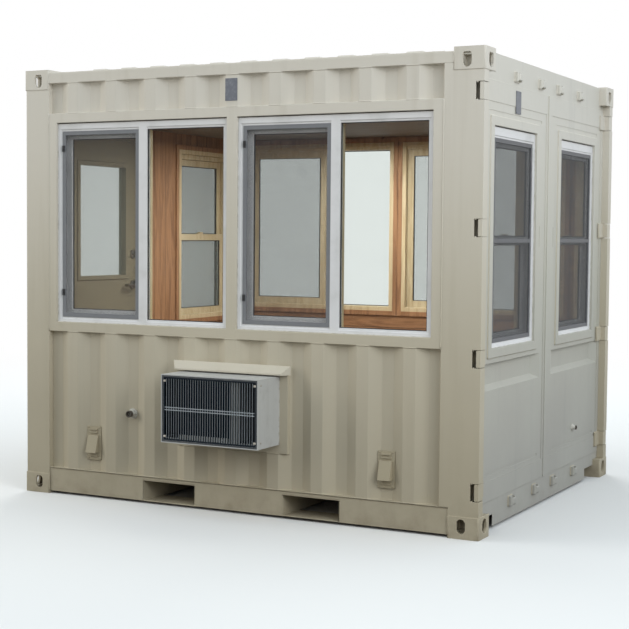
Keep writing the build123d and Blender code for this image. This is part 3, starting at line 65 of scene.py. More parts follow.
camera_data = bpy.data.cameras.new("eye")
camera_data.lens = EYE_LENS
camera_data.sensor_width = EYE_FILM
camera = bpy.data.objects.new("eye", camera_data)
bpy.context.scene.collection.objects.link(camera)
gaze = Matrix.Rotation(EYE_YAW, 3, "Z") @ Matrix.Rotation(EYE_PITCH, 3, "X")
right, forward, up = (gaze @ Matrix.Rotation(EYE_ROLL, 3, "Y")).col
camera.matrix_world = Matrix.Translation(EYE) @ Matrix((right, up, -forward)).transposed().to_4x4()
bpy.context.scene.camera = camera
bpy.context.scene.view_settings.view_transform = "Standard"


# The steel shell. Pressed and folded steel, welded up and sprayed with one cream coat. The coat is darker
# from the ground up, partly a film of road dust and partly painted shade. It is lighter and cooler at the
# top, partly bleaching and partly painted sky light. It has faint rain streaks and mud along its foot, and
# the door end takes a greyer copy of the coat with painted cool sky light.
# The bleached colour and its span also carry painted sky light. The dusty colours and the dust span also
# carry painted shade low down.
CREAM = (0.620, 0.562, 0.440)
CREAM_CHALKY = (0.660, 0.615, 0.515)
CREAM_BLEACHED_AND_SKYLIT = (0.710, 0.675, 0.615)
CREAM_DUST_AND_SHADE = (0.345, 0.292, 0.190)
CREAM_GREYED_SKYLIT = (0.545, 0.530, 0.440)
GREY_DUST_AND_SHADE = (0.277, 0.270, 0.265)
MUD = (0.190, 0.142, 0.088)
RUST = (0.150, 0.052, 0.020)
DUST_AND_SHADE_SPAN = (-0.25, 2.30)
FOOT_SPAN = (-0.02, 0.24)
BLEACHED_AND_SKYLIT_SPAN = (0.9, 2.5)
JOINED = 0.00002
SHARP = math.radians(32)


class Level:
    """A number that varies over a surface, so that the maths on it reads as a plain sum."""

    def __init__(self, finish, socket):
        self.finish = finish
        self.socket = socket

    def maths(self, operation, *values):
        return self.finish.node("ShaderNodeMath", {"operation": operation}, dict(enumerate(values)))

    def __add__(self, other):
        return self.maths("ADD", self, other)

    def __radd__(self, other):
        return self.maths("ADD", other, self)

    def __sub__(self, other):
        return self.maths("SUBTRACT", self, other)

    def __rsub__(self, other):
        return self.maths("SUBTRACT", other, self)

    def __mul__(self, other):
        return self.maths("MULTIPLY", self, other)

    def __rmul__(self, other):
        return self.maths("MULTIPLY", other, self)

    def __truediv__(self, other):
        return self.maths("DIVIDE", self, other)

    def __pow__(self, other):
        return self.maths("POWER", self, other)

    def __gt__(self, other):
        return self.maths("GREATER_THAN", self, other)

    def __lt__(self, other):
        return self.maths("LESS_THAN", self, other)

    def fraction(self):
        return self.maths("FRACT", self)

    def whole(self):
        return self.maths("FLOOR", self)

    def size(self):
        return self.maths("ABSOLUTE", self)

    def most(self, other):
        return self.maths("MAXIMUM", self, other)


class Finish:
    """One finish: its material, the shader that it ends in and the nodes that feed it."""

    def __init__(self, name):
        self.material = bpy.data.materials.new(name)
        self.material.use_nodes = True
        self.tree = self.material.node_tree
        self.tree.nodes.clear()
        self.surface = self.tree.nodes.new("ShaderNodeBsdfPrincipled")
        self.ending = self.tree.nodes.new("ShaderNodeOutputMaterial")
        self.tree.links.new(self.surface.outputs[0], self.ending.inputs[0])
        self.place = self.node("ShaderNodeTexCoord", {}, {}, output="Object")
        self.x, self.y, self.z = self.split(self.place)

    def join(self, target, value):
        if isinstance(value, Level):
            self.tree.links.new(value.socket, target)
        elif isinstance(value, tuple) and len(value) == 3 and len(target.default_value) == 4:
            target.default_value = (*value, 1)
        else:
            target.default_value = value

    def node(self, kind, settings, inputs, output=0):
        """A node of one type, with its settings made first and then its inputs."""
        made = self.tree.nodes.new(kind)
        for name, value in settings.items():
            setattr(made, name, value)
        for name, value in inputs.items():
            self.join(made.inputs[name], value)
        return Level(self, made.outputs[output])

    def split(self, vector):
        parts = self.node("ShaderNodeSeparateXYZ", {}, {0: vector})
        outputs = parts.socket.node.outputs
        return Level(self, outputs[0]), Level(self, outputs[1]), Level(self, outputs[2])

    def mixed(self, amount, first, second):
        """The first colour where the amount is 0 and the second where it is 1."""
        return self.node("ShaderNodeMix", {"data_type": "RGBA"}, {0: amount, 6: first, 7: second}, output=2)

    def stretched(self, x, y, z):
        """The place on the surface, with each direction scaled."""
        return self.node("ShaderNodeVectorMath", {"operation": "MULTIPLY"}, {0: self.place, 1: (x, y, z)})

    def mottle(self, scale, detail=4.0, roughness=0.55, place=None):
        """Cloudy noise from 0 to 1, with the given number of patches to a metre."""
        return self.node("ShaderNodeTexNoise", {}, {"Vector": place or self.place, "Scale": scale,
                                                    "Detail": detail, "Roughness": roughness})

    def between(self, value, low, high):
        """0 below the low value, 1 above the high one, smooth between them."""
        return self.node("ShaderNodeMapRange", {"interpolation_type": "SMOOTHSTEP"},
                         {0: value, 1: low, 2: high, 3: 0.0, 4: 1.0})

    def raised(self, height, distance, strength):
        """Gives the surface a relief of the given depth in metres."""
        bump = self.node("ShaderNodeBump", {}, {"Strength": strength, "Distance": distance, "Height": height})
        self.join(self.surface.inputs["Normal"], bump)

    def shader(self, kind, **values):
        """A second shader of this finish, for a mix."""
        made = self.tree.nodes.new(kind)
        for name, value in values.items():
            self.join(made.inputs[name.replace("_", " ")], value)
        return made

    def blend(self, amount, first, second):
        """Ends the finish in a mix of two shaders."""
        mix = self.tree.nodes.new("ShaderNodeMixShader")
        self.tree.links.new(amount.socket, mix.inputs[0])
        self.tree.links.new(first.outputs[0], mix.inputs[1])
        self.tree.links.new(second.outputs[0], mix.inputs[2])
        self.tree.links.new(mix.outputs[0], self.ending.inputs[0])

    def set(self, **values):
        for name, value in values.items():
            self.join(self.surface.inputs[name.replace("_", " ")], value)


def container_paint(name, dust, mud, chalk, cream=CREAM, dust_and_shade_colour=CREAM_DUST_AND_SHADE):
    """Cream paint with faint chalky patches, a film darker near the ground that is partly dust and partly
    painted shade, a top lightened partly by bleaching and partly as painted sky light, streaks and mud.
    """
    paint = Finish(name)
    patches = paint.between(paint.mottle(1.3, 5.0), 0.36, 0.70)
    streaks = paint.between(paint.mottle(11.0, 3.0, place=paint.stretched(1.0, 1.0, 0.05)), 0.52, 0.76)
    # Painted shade: the film darkens the paint from the ground up, partly road dust and partly painted shade.
    # The dust argument sets its share.
    dust_and_shade_film = 1 - paint.between(paint.z, *DUST_AND_SHADE_SPAN)
    foot = 1 - paint.between(paint.z, *FOOT_SPAN)
    splash = paint.between(paint.mottle(9.0, 6.0, 0.65), 0.35, 0.80)
    specks = paint.between(paint.mottle(120.0, 3.0, 0.6), 0.70, 0.74)
    base = paint.mixed(patches * chalk, cream, CREAM_CHALKY)
    # Painted light: the upper paint turns lighter and cooler, partly bleaching and partly painted sky light.
    base = paint.mixed(paint.between(paint.z, *BLEACHED_AND_SKYLIT_SPAN) * 0.62, base, CREAM_BLEACHED_AND_SKYLIT)
    base = paint.mixed(dust_and_shade_film * (dust + 0.14 * patches), base, dust_and_shade_colour)
    base = paint.mixed(streaks * 0.13, base, dust_and_shade_colour)
    base = paint.mixed(foot * splash * mud, base, MUD)
    base = paint.mixed(foot * specks * mud, base, RUST)
    peel = paint.mottle(380.0, 2.0, 0.5)
    waves = paint.mottle(9.0, 2.0, 0.5)
    paint.set(Base_Color=base, Roughness=0.40 + 0.14 * patches + 0.14 * dust_and_shade_film, Specular_IOR_Level=0.45)
    paint.raised(waves + 0.06 * peel + 0.10 * splash * foot, 0.0030, 0.5)
    return paint.material


def finish_nodes(material, *names):
    """Puts one material on whole nodes of the frame."""
    for name in names:
        mesh = nodes[name].data
        mesh.materials.clear()
        mesh.materials.append(material)


def soften(width, *names):
    """Rounds the sharp edges of folded and sawn pieces, as rolling and paint do."""
    for name in names:
        weld = nodes[name].modifiers.new("joined faces", "WELD")
        weld.merge_threshold = JOINED
        edge = nodes[name].modifiers.new("soft edges", "BEVEL")
        edge.width = width
        edge.segments = 2
        edge.limit_method = "ANGLE"
        edge.angle_limit = SHARP
        edge.harden_normals = True


frame_paint = container_paint("frame_cream", 0.66, 0.50, 0.5)
sheet_paint = container_paint("sheet_cream", 0.58, 0.20, 0.5)
# The door end's paint is a greyer copy of the cream, as painted cool sky light. Its grey film low down is
# partly dust and partly painted shade and reflection.
cargo_door_paint = container_paint("cargo_door_cream", 0.54, 0.20, 0.5, CREAM_GREYED_SKYLIT, GREY_DUST_AND_SHADE)
finish_nodes(frame_paint, "bottom_corner_castings", "top_corner_castings", "closed_end_posts",
             "door_end_posts", "bottom_side_rails", "top_side_rails", "closed_end_sill",
             "closed_end_header", "fork_pockets", "cross_members", "cargo_door_hinges")
finish_nodes(sheet_paint, "roof_panel", "front_wall", "rear_wall", "closed_end_wall_rear",
             "closed_end_wall_over_door", "front_window_surround", "rear_window_surround",
             "man_door_surround", "ac_surround")
finish_nodes(cargo_door_paint, "door_sill", "door_header", "cargo_door_front", "cargo_door_rear",
             "hung_window_surrounds", "cam_keepers")
finish_nodes(container_paint("hood_cream", 0.42, 0.10, 0.5, CREAM_CHALKY), "ac_hood")
soften(0.0030, "bottom_corner_castings", "top_corner_castings", "closed_end_posts", "door_end_posts",
       "bottom_side_rails", "top_side_rails", "closed_end_sill", "closed_end_header", "door_sill",
       "door_header", "fork_pockets", "front_window_surround", "rear_window_surround",
       "hung_window_surrounds", "man_door_surround", "cargo_door_hinges", "cam_keepers", "ac_surround")
soften(0.0016, "cargo_door_front", "cargo_door_rear")


# The welds and sealed seams. Each sheet and tube is welded to its neighbour with a rippled
# bead, and the long seams of the corrugated sheets are sealed and painted over.
BEAD = 0.0034
BEAD_STEP = 0.011
BEAD_RIPPLE = 0.22
SEALED = (0.0042, 0.02, 0.08)
SUNK = 0.001
SETBACK = 0.0046
SEAM_IN = 0.0008
CUT_EDGE = 0.0005
ROOF_SHEET = 0.002
ROOF_CORNER = 0.12
rng = random.Random(7)


def added(name, mesh, material, body):
    """Makes one piece of its mesh and gives it a finish and a body."""
    bmesh.ops.recalc_face_normals(mesh, faces=mesh.faces)
    shape = bpy.data.meshes.new(name)
    mesh.to_mesh(shape)
    mesh.free()
    shape.materials.append(material)
    piece = bpy.data.objects.new(name, shape)
    bpy.context.scene.collection.objects.link(piece)
    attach(piece, body)
    return piece


def ring(mesh, centre, turn, radius, height, sides):
    """The points of one circle, at a height over its centre along the turned Z axis."""
    angles = [math.tau * side / sides for side in range(sides)]
    return [mesh.verts.new(centre + turn @ Vector((radius * math.cos(angle), radius * math.sin(angle),
                                                   height))) for angle in angles]


def skin(mesh, rings):
    """A smooth skin over a row of rings, closed at both ends."""
    for lower, upper in zip(rings, rings[1:]):
        for side, after in zip(range(len(lower)), [*range(1, len(lower)), 0]):
            mesh.faces.new((lower[side], lower[after], upper[after], upper[side])).smooth = True
    mesh.faces.new(rings[0])
    mesh.faces.new(rings[-1])


def rod(mesh, path, radius, step=1.0, ripple=0.0, sides=6):
    """A rod along a path, closed at its ends and a little uneven where it has a ripple."""
    points = [path[0]]
    for near, far in zip(path, path[1:]):
        count = max(1, math.ceil((far - near).length / step))
        points += [near.lerp(far, index / count) for index in range(1, count + 1)]
    rings = []
    heading = (points[1] - points[0]).normalized()
    turn = heading.to_track_quat("Z", "Y")
    for index, point in enumerate(points):
        after = points[min(index + 1, len(points) - 1)]
        ahead = (after - points[max(index - 1, 0)]).normalized()
        turn = heading.rotation_difference(ahead) @ turn
        heading = ahead
        reach = radius * (1 + ripple * rng.uniform(-1, 1))
        rings.append(ring(mesh, point, turn, reach, 0, sides))
    skin(mesh, rings)


def placed(facing, along, depth, height):
    """A point on a wall that faces along x or y, from its place along the wall, depth and height."""
    return Vector((along, depth, height)) if facing == "y" else Vector((depth, along, height))


def outline(facing, depth, low, high, bottom, top):
    """The closed path round a rectangle on a wall."""
    corners = ((low, bottom), (high, bottom), (high, top), (low, top), (low, bottom))
    return [placed(facing, along, depth, height) for along, height in corners]


def places(name):
    """The lowest and highest corner of each separate solid in a node of the frame."""
    mesh = bmesh.new()
    mesh.from_mesh(nodes[name].data)
    bmesh.ops.remove_doubles(mesh, verts=mesh.verts, dist=0.00001)
    waiting = set(mesh.verts)
    boxes = []
    while waiting:
        group = [waiting.pop()]
        for vert in group:
            near = [edge.other_vert(vert) for edge in vert.link_edges]
            fresh = [other for other in near if other in waiting]
            waiting.difference_update(fresh)
            group += list(dict.fromkeys(fresh))
        spans = [[vert.co[axis] for vert in group] for axis in range(3)]
        boxes.append((Vector(map(min, spans)), Vector(map(max, spans))))
    mesh.free()
    return sorted(boxes, key=lambda pair: [round(value, 3) for value in pair[0]])


def pressed_line(name, level, along, outward):
    """The outer line of a corrugated sheet at one of its sawn edges."""
    across = 1 - along
    line = {}
    for vert in nodes[name].data.vertices:
        if abs(vert.co.z - level) < CUT_EDGE:
            place = round(vert.co[along], 4)
            if place not in line or vert.co[across] * outward > line[place][across] * outward:
                line[place] = vert.co.copy()
    return [line[place] for place in sorted(line)]


def weld(mesh, path):
    """A painted weld bead, rippled as it was laid."""
    rod(mesh, path, BEAD, BEAD_STEP, BEAD_RIPPLE)


rail_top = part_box("bottom_side_rails")[1].z
roof_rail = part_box("top_side_rails")[0].z
band_low, band_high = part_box("front_window_surround")
case_low, case_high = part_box("ac_surround")
side_seams = bmesh.new()
for wall, outward in (("front_wall", -1), ("rear_wall", 1)):
    for level in (rail_top, band_low.z, band_high.z, roof_rail):
        weld(side_seams, pressed_line(wall, level, 0, outward))
    depth = -outward * (band_low.y + SEAM_IN)
    for post in (band_low.x, band_high.x):
        rod(side_seams, [Vector((post, depth, band_low.z)), Vector((post, depth, band_high.z))], *SEALED)
for level in (case_low.z, case_high.z):
    weld(side_seams, pressed_line("front_wall", level, 0, -1))
added("side_wall_seams", side_seams, sheet_paint, "root")

end_seams = bmesh.new()
header_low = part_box("closed_end_header")[0].z
door_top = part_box("man_door_surround")[1].z
for wall, levels in (("closed_end_wall_rear", (rail_top, header_low)),
                     ("closed_end_wall_over_door", (header_low, door_top))):
    for level in levels:
        weld(end_seams, pressed_line(wall, level, 1, -1))
for low, high in places("hung_window_surrounds"):
    if high.x > 0:
        door_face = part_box("cargo_door_rear")[1].x
        weld(end_seams, outline("x", door_face - 2 * SUNK, low.y, high.y, low.z, high.z))
for low, high in places("cargo_door_hinges"):
    for level in (low.z, high.z):
        weld(end_seams, [Vector((low.x + 2 * SUNK, y, level)) for y in (low.y, high.y)])
for low, high in places("cam_keepers"):
    weld(end_seams, outline("x", low.x + SUNK, low.y, high.y, low.z, high.z))
added("end_wall_seams", end_seams, sheet_paint, "root")


def inner_and_face(low, high):
    """The inner face of a casting along one axis, and the post's face just inside its outer one."""
    inner, outer = sorted((low, high), key=abs)
    return inner, outer - math.copysign(SETBACK, outer)


corner_welds = bmesh.new()
for castings, rails, end in (("bottom_corner_castings", "bottom_side_rails", 1),
                             ("top_corner_castings", "top_side_rails", 0)):
    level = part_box(castings)[end].z
    rail_low, rail_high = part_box(rails)
    for low, high in places(castings):
        inner_x, face_x = inner_and_face(low.x, high.x)
        inner_y, face_y = inner_and_face(low.y, high.y)
        weld(corner_welds, [Vector((inner_x, face_y, level)), Vector((face_x, face_y, level))])
        weld(corner_welds, [Vector((face_x, face_y, level)), Vector((face_x, inner_y, level))])
        weld(corner_welds, [Vector((inner_x, face_y, max(low.z, rail_low.z))),
                            Vector((inner_x, face_y, min(high.z, rail_high.z)))])
added("corner_welds", corner_welds, frame_paint, "root")

roof_low, roof_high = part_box("roof_panel")
sheet_top = roof_low.z + ROOF_SHEET
casting_inner = min(low.y for low, high in places("top_corner_castings") if low.y > 0)
roof_seams = bmesh.new()
for y in (roof_low.y + SUNK, roof_high.y - SUNK):
    weld(roof_seams, [Vector((roof_low.x + ROOF_CORNER, y, sheet_top)),
                      Vector((roof_high.x - ROOF_CORNER, y, sheet_top))])
weld(roof_seams, [Vector((roof_low.x + SUNK, y, sheet_top)) for y in (-casting_inner, casting_inner)])
added("roof_seams", roof_seams, sheet_paint, "root")


# The closing strip. A folded steel strip, welded in and painted over, that closes the slot
# between the roof sheet and the header over the cargo doors, which is a channel open inwards.
STRIP_SPAN = (-0.004, 0.003)
STRIP_BITE = 0.0002
STRIP_UNDER_TOP = 0.0008
STRIP_SOFT = 0.0012


def slab(mesh, low, high, soft):
    """A flat piece between two corners, with its edges rounded."""
    middle = (Vector(low) + Vector(high)) / 2
    size = Vector(high) - Vector(low)
    place = Matrix.Translation(middle) @ Matrix.Diagonal((*size, 1))
    made = bmesh.ops.create_cube(mesh, size=1, matrix=place)
    edges = dict.fromkeys(edge for vert in made["verts"] for edge in vert.link_edges)
    bmesh.ops.bevel(mesh, geom=list(edges), offset=soft, segments=2, profile=0.5, affect="EDGES",
                    clamp_overlap=True)


header_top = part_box("door_header")[1].z
closing_strip = bmesh.new()
slab(closing_strip, (roof_high.x + STRIP_SPAN[0], -casting_inner, sheet_top - STRIP_BITE),
     (roof_high.x + STRIP_SPAN[1], casting_inner, header_top - STRIP_UNDER_TOP), STRIP_SOFT)
added("header_closing_strip", closing_strip, sheet_paint, "root")


# The two blank plates. Grey aluminium, held by a rivet in each corner, one above the windows
# between the two openings and one on the front cargo door.
PLATE_GREY = (0.155, 0.165, 0.190)
PLATE_PALE = (0.250, 0.260, 0.285)
PLATE_THICK = 0.0028
PLATE_FRONT = (-0.0695, 0.0095, 2.359, 2.486)
PLATE_END = (-0.604, -0.521, 2.288, 2.415)
PLATE_SOFT = 0.0006
RIVET_INSET = 0.009
RIVET = ((0.0034, -0.001), (0.0034, 0.0004), (0.0028, 0.0013), (0.0015, 0.0018), (0.0002, 0.0020))
plate_metal = Finish("bare_plate")
plate_wear = plate_metal.between(plate_metal.mottle(38.0, 6.0, 0.65), 0.45, 0.75)
plate_metal.set(Base_Color=plate_metal.mixed(plate_wear, PLATE_GREY, PLATE_PALE), Metallic=0.45,
                Roughness=0.38 + 0.2 * plate_wear)
plate_metal.raised(plate_metal.mottle(140.0, 3.0), 0.0006, 0.4)


def turned(mesh, centre, axis, profile, sides=14):
    """A round piece about an axis, from pairs of radius and height, from its seat to its tip."""
    turn = Vector(axis).to_track_quat("Z", "Y")
    skin(mesh, [ring(mesh, Vector(centre), turn, radius, height, sides) for radius, height in profile])


def bare_plate(name, facing, face, outward, span):
    """One plate with its four rivets, on the outside of a wall."""
    mesh = bmesh.new()
    low, high, bottom, top = span
    near, far = sorted((face, face + outward * PLATE_THICK))
    slab(mesh, placed(facing, low, near, bottom), placed(facing, high, far, top), PLATE_SOFT)
    for along in (low + RIVET_INSET, high - RIVET_INSET):
        for height in (bottom + RIVET_INSET, top - RIVET_INSET):
            turned(mesh, placed(facing, along, face + outward * PLATE_THICK, height),
                   placed(facing, 0, outward, 0), RIVET)
    added(name, mesh, plate_metal.material, "root")


bare_plate("front_blank_plate", "y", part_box("front_wall")[0].y, -1, PLATE_FRONT)
bare_plate("end_blank_plate", "x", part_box("cargo_door_rear")[1].x, 1, PLATE_END)


# The cargo door seals. A rubber lip, sprayed over with the rest, fills the narrow gap
# between the doors and the frame round them, and the gap between the two doors.
SEAL = 0.0023
SEAL_DEPTH = 0.003
SEAL_STEP = 0.05
HALF_GAP = 0.0015
MEETING_SEAL = 0.0046
MEETING_DEPTH = 0.0026
MEETING_RIPPLE = 0.03
door_low, door_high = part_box("cargo_door_rear")
seal = bmesh.new()
rod(seal, [Vector((door_high.x - MEETING_DEPTH, 0, level)) for level in (door_low.z, door_high.z)],
    MEETING_SEAL, SEAL_STEP, MEETING_RIPPLE, 10)
rod(seal, outline("x", door_high.x - SEAL_DEPTH, -door_high.y - HALF_GAP, door_high.y + HALF_GAP,
                  door_low.z - HALF_GAP, door_high.z + HALF_GAP), SEAL, SEAL_STEP)
added("cargo_door_seal", seal, cargo_door_paint, "root")


# The windows. White vinyl frames and sashes, mitred and welded at the corners, with a pine
# coloured laminate on their room side, and a bead of caulk against the steel.
VINYL = (0.770, 0.760, 0.755)
VINYL_DUSTY = (0.560, 0.555, 0.530)
LAMINATE = (0.560, 0.480, 0.330)
LAMINATE_DARK = (0.430, 0.340, 0.205)
SLIDER_PANE = 1.149
SLIDER_TRACK = 0.036
SASH_PLAY = 0.0015
HUNG_PANE = 1.384
HUNG_TRACK = 0.028
MEETING_RAIL = 1.58
CLOSED_END_SHIFT = 0.035
CAULK = (0.0032, 0.03, 0.12)
CAULK_PALE = (0.56, 0.54, 0.49)
CAULK_DIRTY = (0.34, 0.31, 0.25)


def window_vinyl(name, room_side):
    """White vinyl outside and a wood laminate on the room side of each window's glass."""
    vinyl = Finish(name)
    dust = vinyl.between(vinyl.mottle(5.0, 5.0), 0.45, 0.75)
    grain = vinyl.between(vinyl.mottle(5.0, 7.0, 0.65, place=vinyl.stretched(7.0, 7.0, 0.8)), 0.35, 0.70)
    white = vinyl.mixed(dust * 0.5, VINYL, VINYL_DUSTY)
    vinyl.set(Base_Color=vinyl.mixed(room_side(vinyl), white, vinyl.mixed(grain, LAMINATE, LAMINATE_DARK)),
              Roughness=0.30 + 0.14 * dust)
    vinyl.raised(vinyl.mottle(90.0, 2.0), 0.0006, 0.35)
    return vinyl.material


slider_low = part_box("slider_frames")[0]
slider_pitch = places("slider_frames")[2][0].x - slider_low.x
meeting_stile = places("slider_sashes")[0][1].x


def slider_room_side(vinyl):
    """1 on the room side of a sliding window's panes. The fixed pane is in the outer track."""
    sash_share = (meeting_stile - slider_low.x - SASH_PLAY) / slider_pitch
    fixed = ((vinyl.x - slider_low.x) / slider_pitch).fraction() > sash_share
    return vinyl.y.size() < SLIDER_PANE + SLIDER_TRACK * fixed


def hung_room_side(vinyl):
    """1 on the room side of a hung window's panes. The upper pane is in the outer track."""
    upper = vinyl.z > MEETING_RAIL
    return vinyl.x.size() < HUNG_PANE + HUNG_TRACK * upper + CLOSED_END_SHIFT * (vinyl.x < 0.0)


slider_vinyl = window_vinyl("slider_vinyl", slider_room_side)
hung_vinyl = window_vinyl("hung_vinyl", hung_room_side)
finish_nodes(slider_vinyl, "slider_frames", "slider_sashes")
finish_nodes(hung_vinyl, "hung_window_frames", "hung_window_sashes")
soften(0.0018, "slider_frames", "slider_sashes", "hung_window_frames", "hung_window_sashes")

caulk_line = Finish("caulk")
caulk_dirt = caulk_line.between(caulk_line.mottle(40.0, 4.0), 0.4, 0.75)
caulk_line.set(Base_Color=caulk_line.mixed(caulk_dirt, CAULK_PALE, CAULK_DIRTY), Roughness=0.6)
caulk_line.raised(caulk_line.mottle(60.0, 3.0), 0.0008, 0.5)


def wall_of(low, high):
    """The way that a flat piece faces, and the number of that axis."""
    return ("y", 1) if high.y - low.y < high.x - low.x else ("x", 0)


def outer_face(low, high, facing):
    """The depth of a piece's outer face and the direction that it faces, +1 or -1."""
    axis = 1 if facing == "y" else 0
    outward = math.copysign(1, low[axis] + high[axis])
    return (high[axis] if outward > 0 else low[axis]), outward


def spans(low, high, facing):
    """A piece's span along its wall."""
    return (low.x, high.x) if facing == "y" else (low.y, high.y)


window_frames = ([("y", low, high) for low, high in places("slider_frames")]
                 + [("x", low, high) for low, high in places("hung_window_frames")])
caulk = bmesh.new()
for facing, low, high in window_frames:
    face, outward = outer_face(low, high, facing)
    near, far = spans(low, high, facing)
    path = [placed(facing, along, face, height)
            for along, height in ((near, high.z), (near, low.z), (far, low.z), (far, high.z))]
    rod(caulk, path, *CAULK)
added("window_caulk", caulk, caulk_line.material, "root")


# The glass. Clear sealed panes with a faint green tint and faint patches of dust, each in a black
# rubber gasket.
GLASS_TINT = (0.930, 0.946, 0.938)
GLASS_FACE = (0.40, 0.43, 0.42)
RUBBER_BLACK = (0.018, 0.018, 0.020)
RUBBER_DUSTY = (0.055, 0.054, 0.052)
GASKET_WIDE = 0.0045
GASKET_PROUD = 0.0016
GASKET_SOFT = 0.0008
glass = Finish("window_glass")
glass_film = glass.between(glass.mottle(9.0, 6.0, 0.6), 0.42, 0.90)
glass.set(Base_Color=GLASS_FACE, Roughness=0.04 + 0.06 * glass_film, Specular_IOR_Level=0.5)
glass_sheen = glass.node("ShaderNodeFresnel", {}, {"IOR": 1.45})
glass.blend(glass_sheen * 0.26 + glass_film * 0.014,
            glass.shader("ShaderNodeBsdfTransparent", Color=GLASS_TINT), glass.surface)
finish_nodes(glass.material, "window_glass", "man_door_glass")

rubber = Finish("black_rubber")
rubber_grey = rubber.between(rubber.mottle(50.0, 4.0), 0.45, 0.8)
rubber.set(Base_Color=rubber.mixed(rubber_grey, RUBBER_BLACK, RUBBER_DUSTY), Roughness=0.62)
rubber.raised(rubber.mottle(240.0, 2.0), 0.0004, 0.4)


def mitred(mesh, facing, near, far, span, width, soft):
    """Four mitred bars round an opening. The span is the outer edges: low, high, bottom, top."""
    low, high, bottom, top = span
    outer = ((low, bottom), (high, bottom), (high, top), (low, top))
    inner = ((low + width, bottom + width), (high - width, bottom + width),
             (high - width, top - width), (low + width, top - width))
    for index in range(4):
        after = (index + 1) % 4
        corners = (outer[index], outer[after], inner[after], inner[index])
        rear = [mesh.verts.new(placed(facing, along, near, height)) for along, height in corners]
        fore = [mesh.verts.new(placed(facing, along, far, height)) for along, height in corners]
        mesh.faces.new(rear)
        mesh.faces.new(fore)
        for corner in range(4):
            beyond = (corner + 1) % 4
            mesh.faces.new((rear[corner], rear[beyond], fore[beyond], fore[corner]))
        edges = dict.fromkeys(edge for vert in rear + fore for edge in vert.link_edges)
        bmesh.ops.bevel(mesh, geom=list(edges), offset=soft, segments=2, profile=0.5, affect="EDGES",
                        clamp_overlap=True)


gaskets = bmesh.new()
for low, high in places("window_glass"):
    facing, axis = wall_of(low, high)
    mitred(gaskets, facing, low[axis] - GASKET_PROUD, high[axis] + GASKET_PROUD,
           (*spans(low, high, facing), low.z, high.z), GASKET_WIDE, GASKET_SOFT)
added("glass_gaskets", gaskets, rubber.material, "root")


# The insect screens. Grey painted aluminium frames that clip into the outer track, a darker grey
# on the end walls as painted shade, with grey glass fibre mesh held by a spline, and black plastic latches on
# the side windows' screens.
SCREEN_GREY = (0.185, 0.190, 0.200)
SCREEN_END_SHADE = (0.075, 0.078, 0.086)
SCREEN_WORN = (0.250, 0.253, 0.258)
MESH_PITCH = 0.0016
MESH_WIRE = 0.19
MESH_WIRE_FINE = 0.46
MESH_INSET = 0.019
SPLINE = 0.0022
LATCH_LEVELS = (0.130, 1.000)
LATCH_TALL = 0.038
LATCH_WIDE = 0.015
LATCH_PROUD = 0.008
LATCH_INSET = 0.002
LATCH_SOFT = 0.002
SPLINE_STEP = 0.1
LATCH_BUTTON = ((0.0045, -0.001), (0.0045, 0.003), (0.0036, 0.0042), (0.0005, 0.0046))
CLOTH_GREY = (0.055, 0.057, 0.061)
CLOTH_PALE = (0.090, 0.090, 0.090)
CLOTH_COLUMNS = 8
CLOTH_ROWS = 16
CLOTH_SLACK = 0.0005
END_WALL_X = 1.4
screen_paint = Finish("screen_grey")
screen_wear = screen_paint.between(screen_paint.mottle(26.0, 4.0), 0.45, 0.8)
# Painted shade: the screens on the end walls take a darker grey.
screen_base = screen_paint.mixed(screen_paint.x.size() > END_WALL_X, SCREEN_GREY, SCREEN_END_SHADE)
screen_paint.set(Base_Color=screen_paint.mixed(screen_wear * 0.4, screen_base, SCREEN_WORN),
                 Roughness=0.42 + 0.15 * screen_wear)
screen_paint.raised(screen_paint.mottle(300.0, 2.0), 0.0004, 0.4)
finish_nodes(screen_paint.material, "insect_screens")
soften(0.0012, "insect_screens")


def weave(name, wire):
    """Woven threads that cover the given share of each pitch, with open holes between them."""
    cloth = Finish(name)
    across = ((cloth.x + cloth.y) / MESH_PITCH).fraction() < wire
    upright = (cloth.z / MESH_PITCH).fraction() < wire
    cloth.set(Base_Color=cloth.mixed(cloth.mottle(6.0, 3.0), CLOTH_GREY, CLOTH_PALE), Roughness=0.75,
              Alpha=across.most(upright))
    return cloth.material


screen_weave = weave("screen_mesh", MESH_WIRE)
screen_weave_fine = weave("screen_mesh_fine", MESH_WIRE_FINE)


def hang_cloth(mesh, facing, depth, low, high, bottom, top):
    """A cloth between four edges, with the faint waves of stretched mesh."""
    grid = []
    for row in range(CLOTH_ROWS + 1):
        height = bottom + (top - bottom) * row / CLOTH_ROWS
        grid.append([mesh.verts.new(placed(facing, low + (high - low) * column / CLOTH_COLUMNS,
                                           depth + CLOTH_SLACK * math.sin(column * 1.9 + row * 0.8), height))
                     for column in range(CLOTH_COLUMNS + 1)])
    for lower, upper in zip(grid, grid[1:]):
        for left, right in zip(range(CLOTH_COLUMNS), range(1, CLOTH_COLUMNS + 1)):
            mesh.faces.new((lower[left], lower[right], upper[right], upper[left])).smooth = True


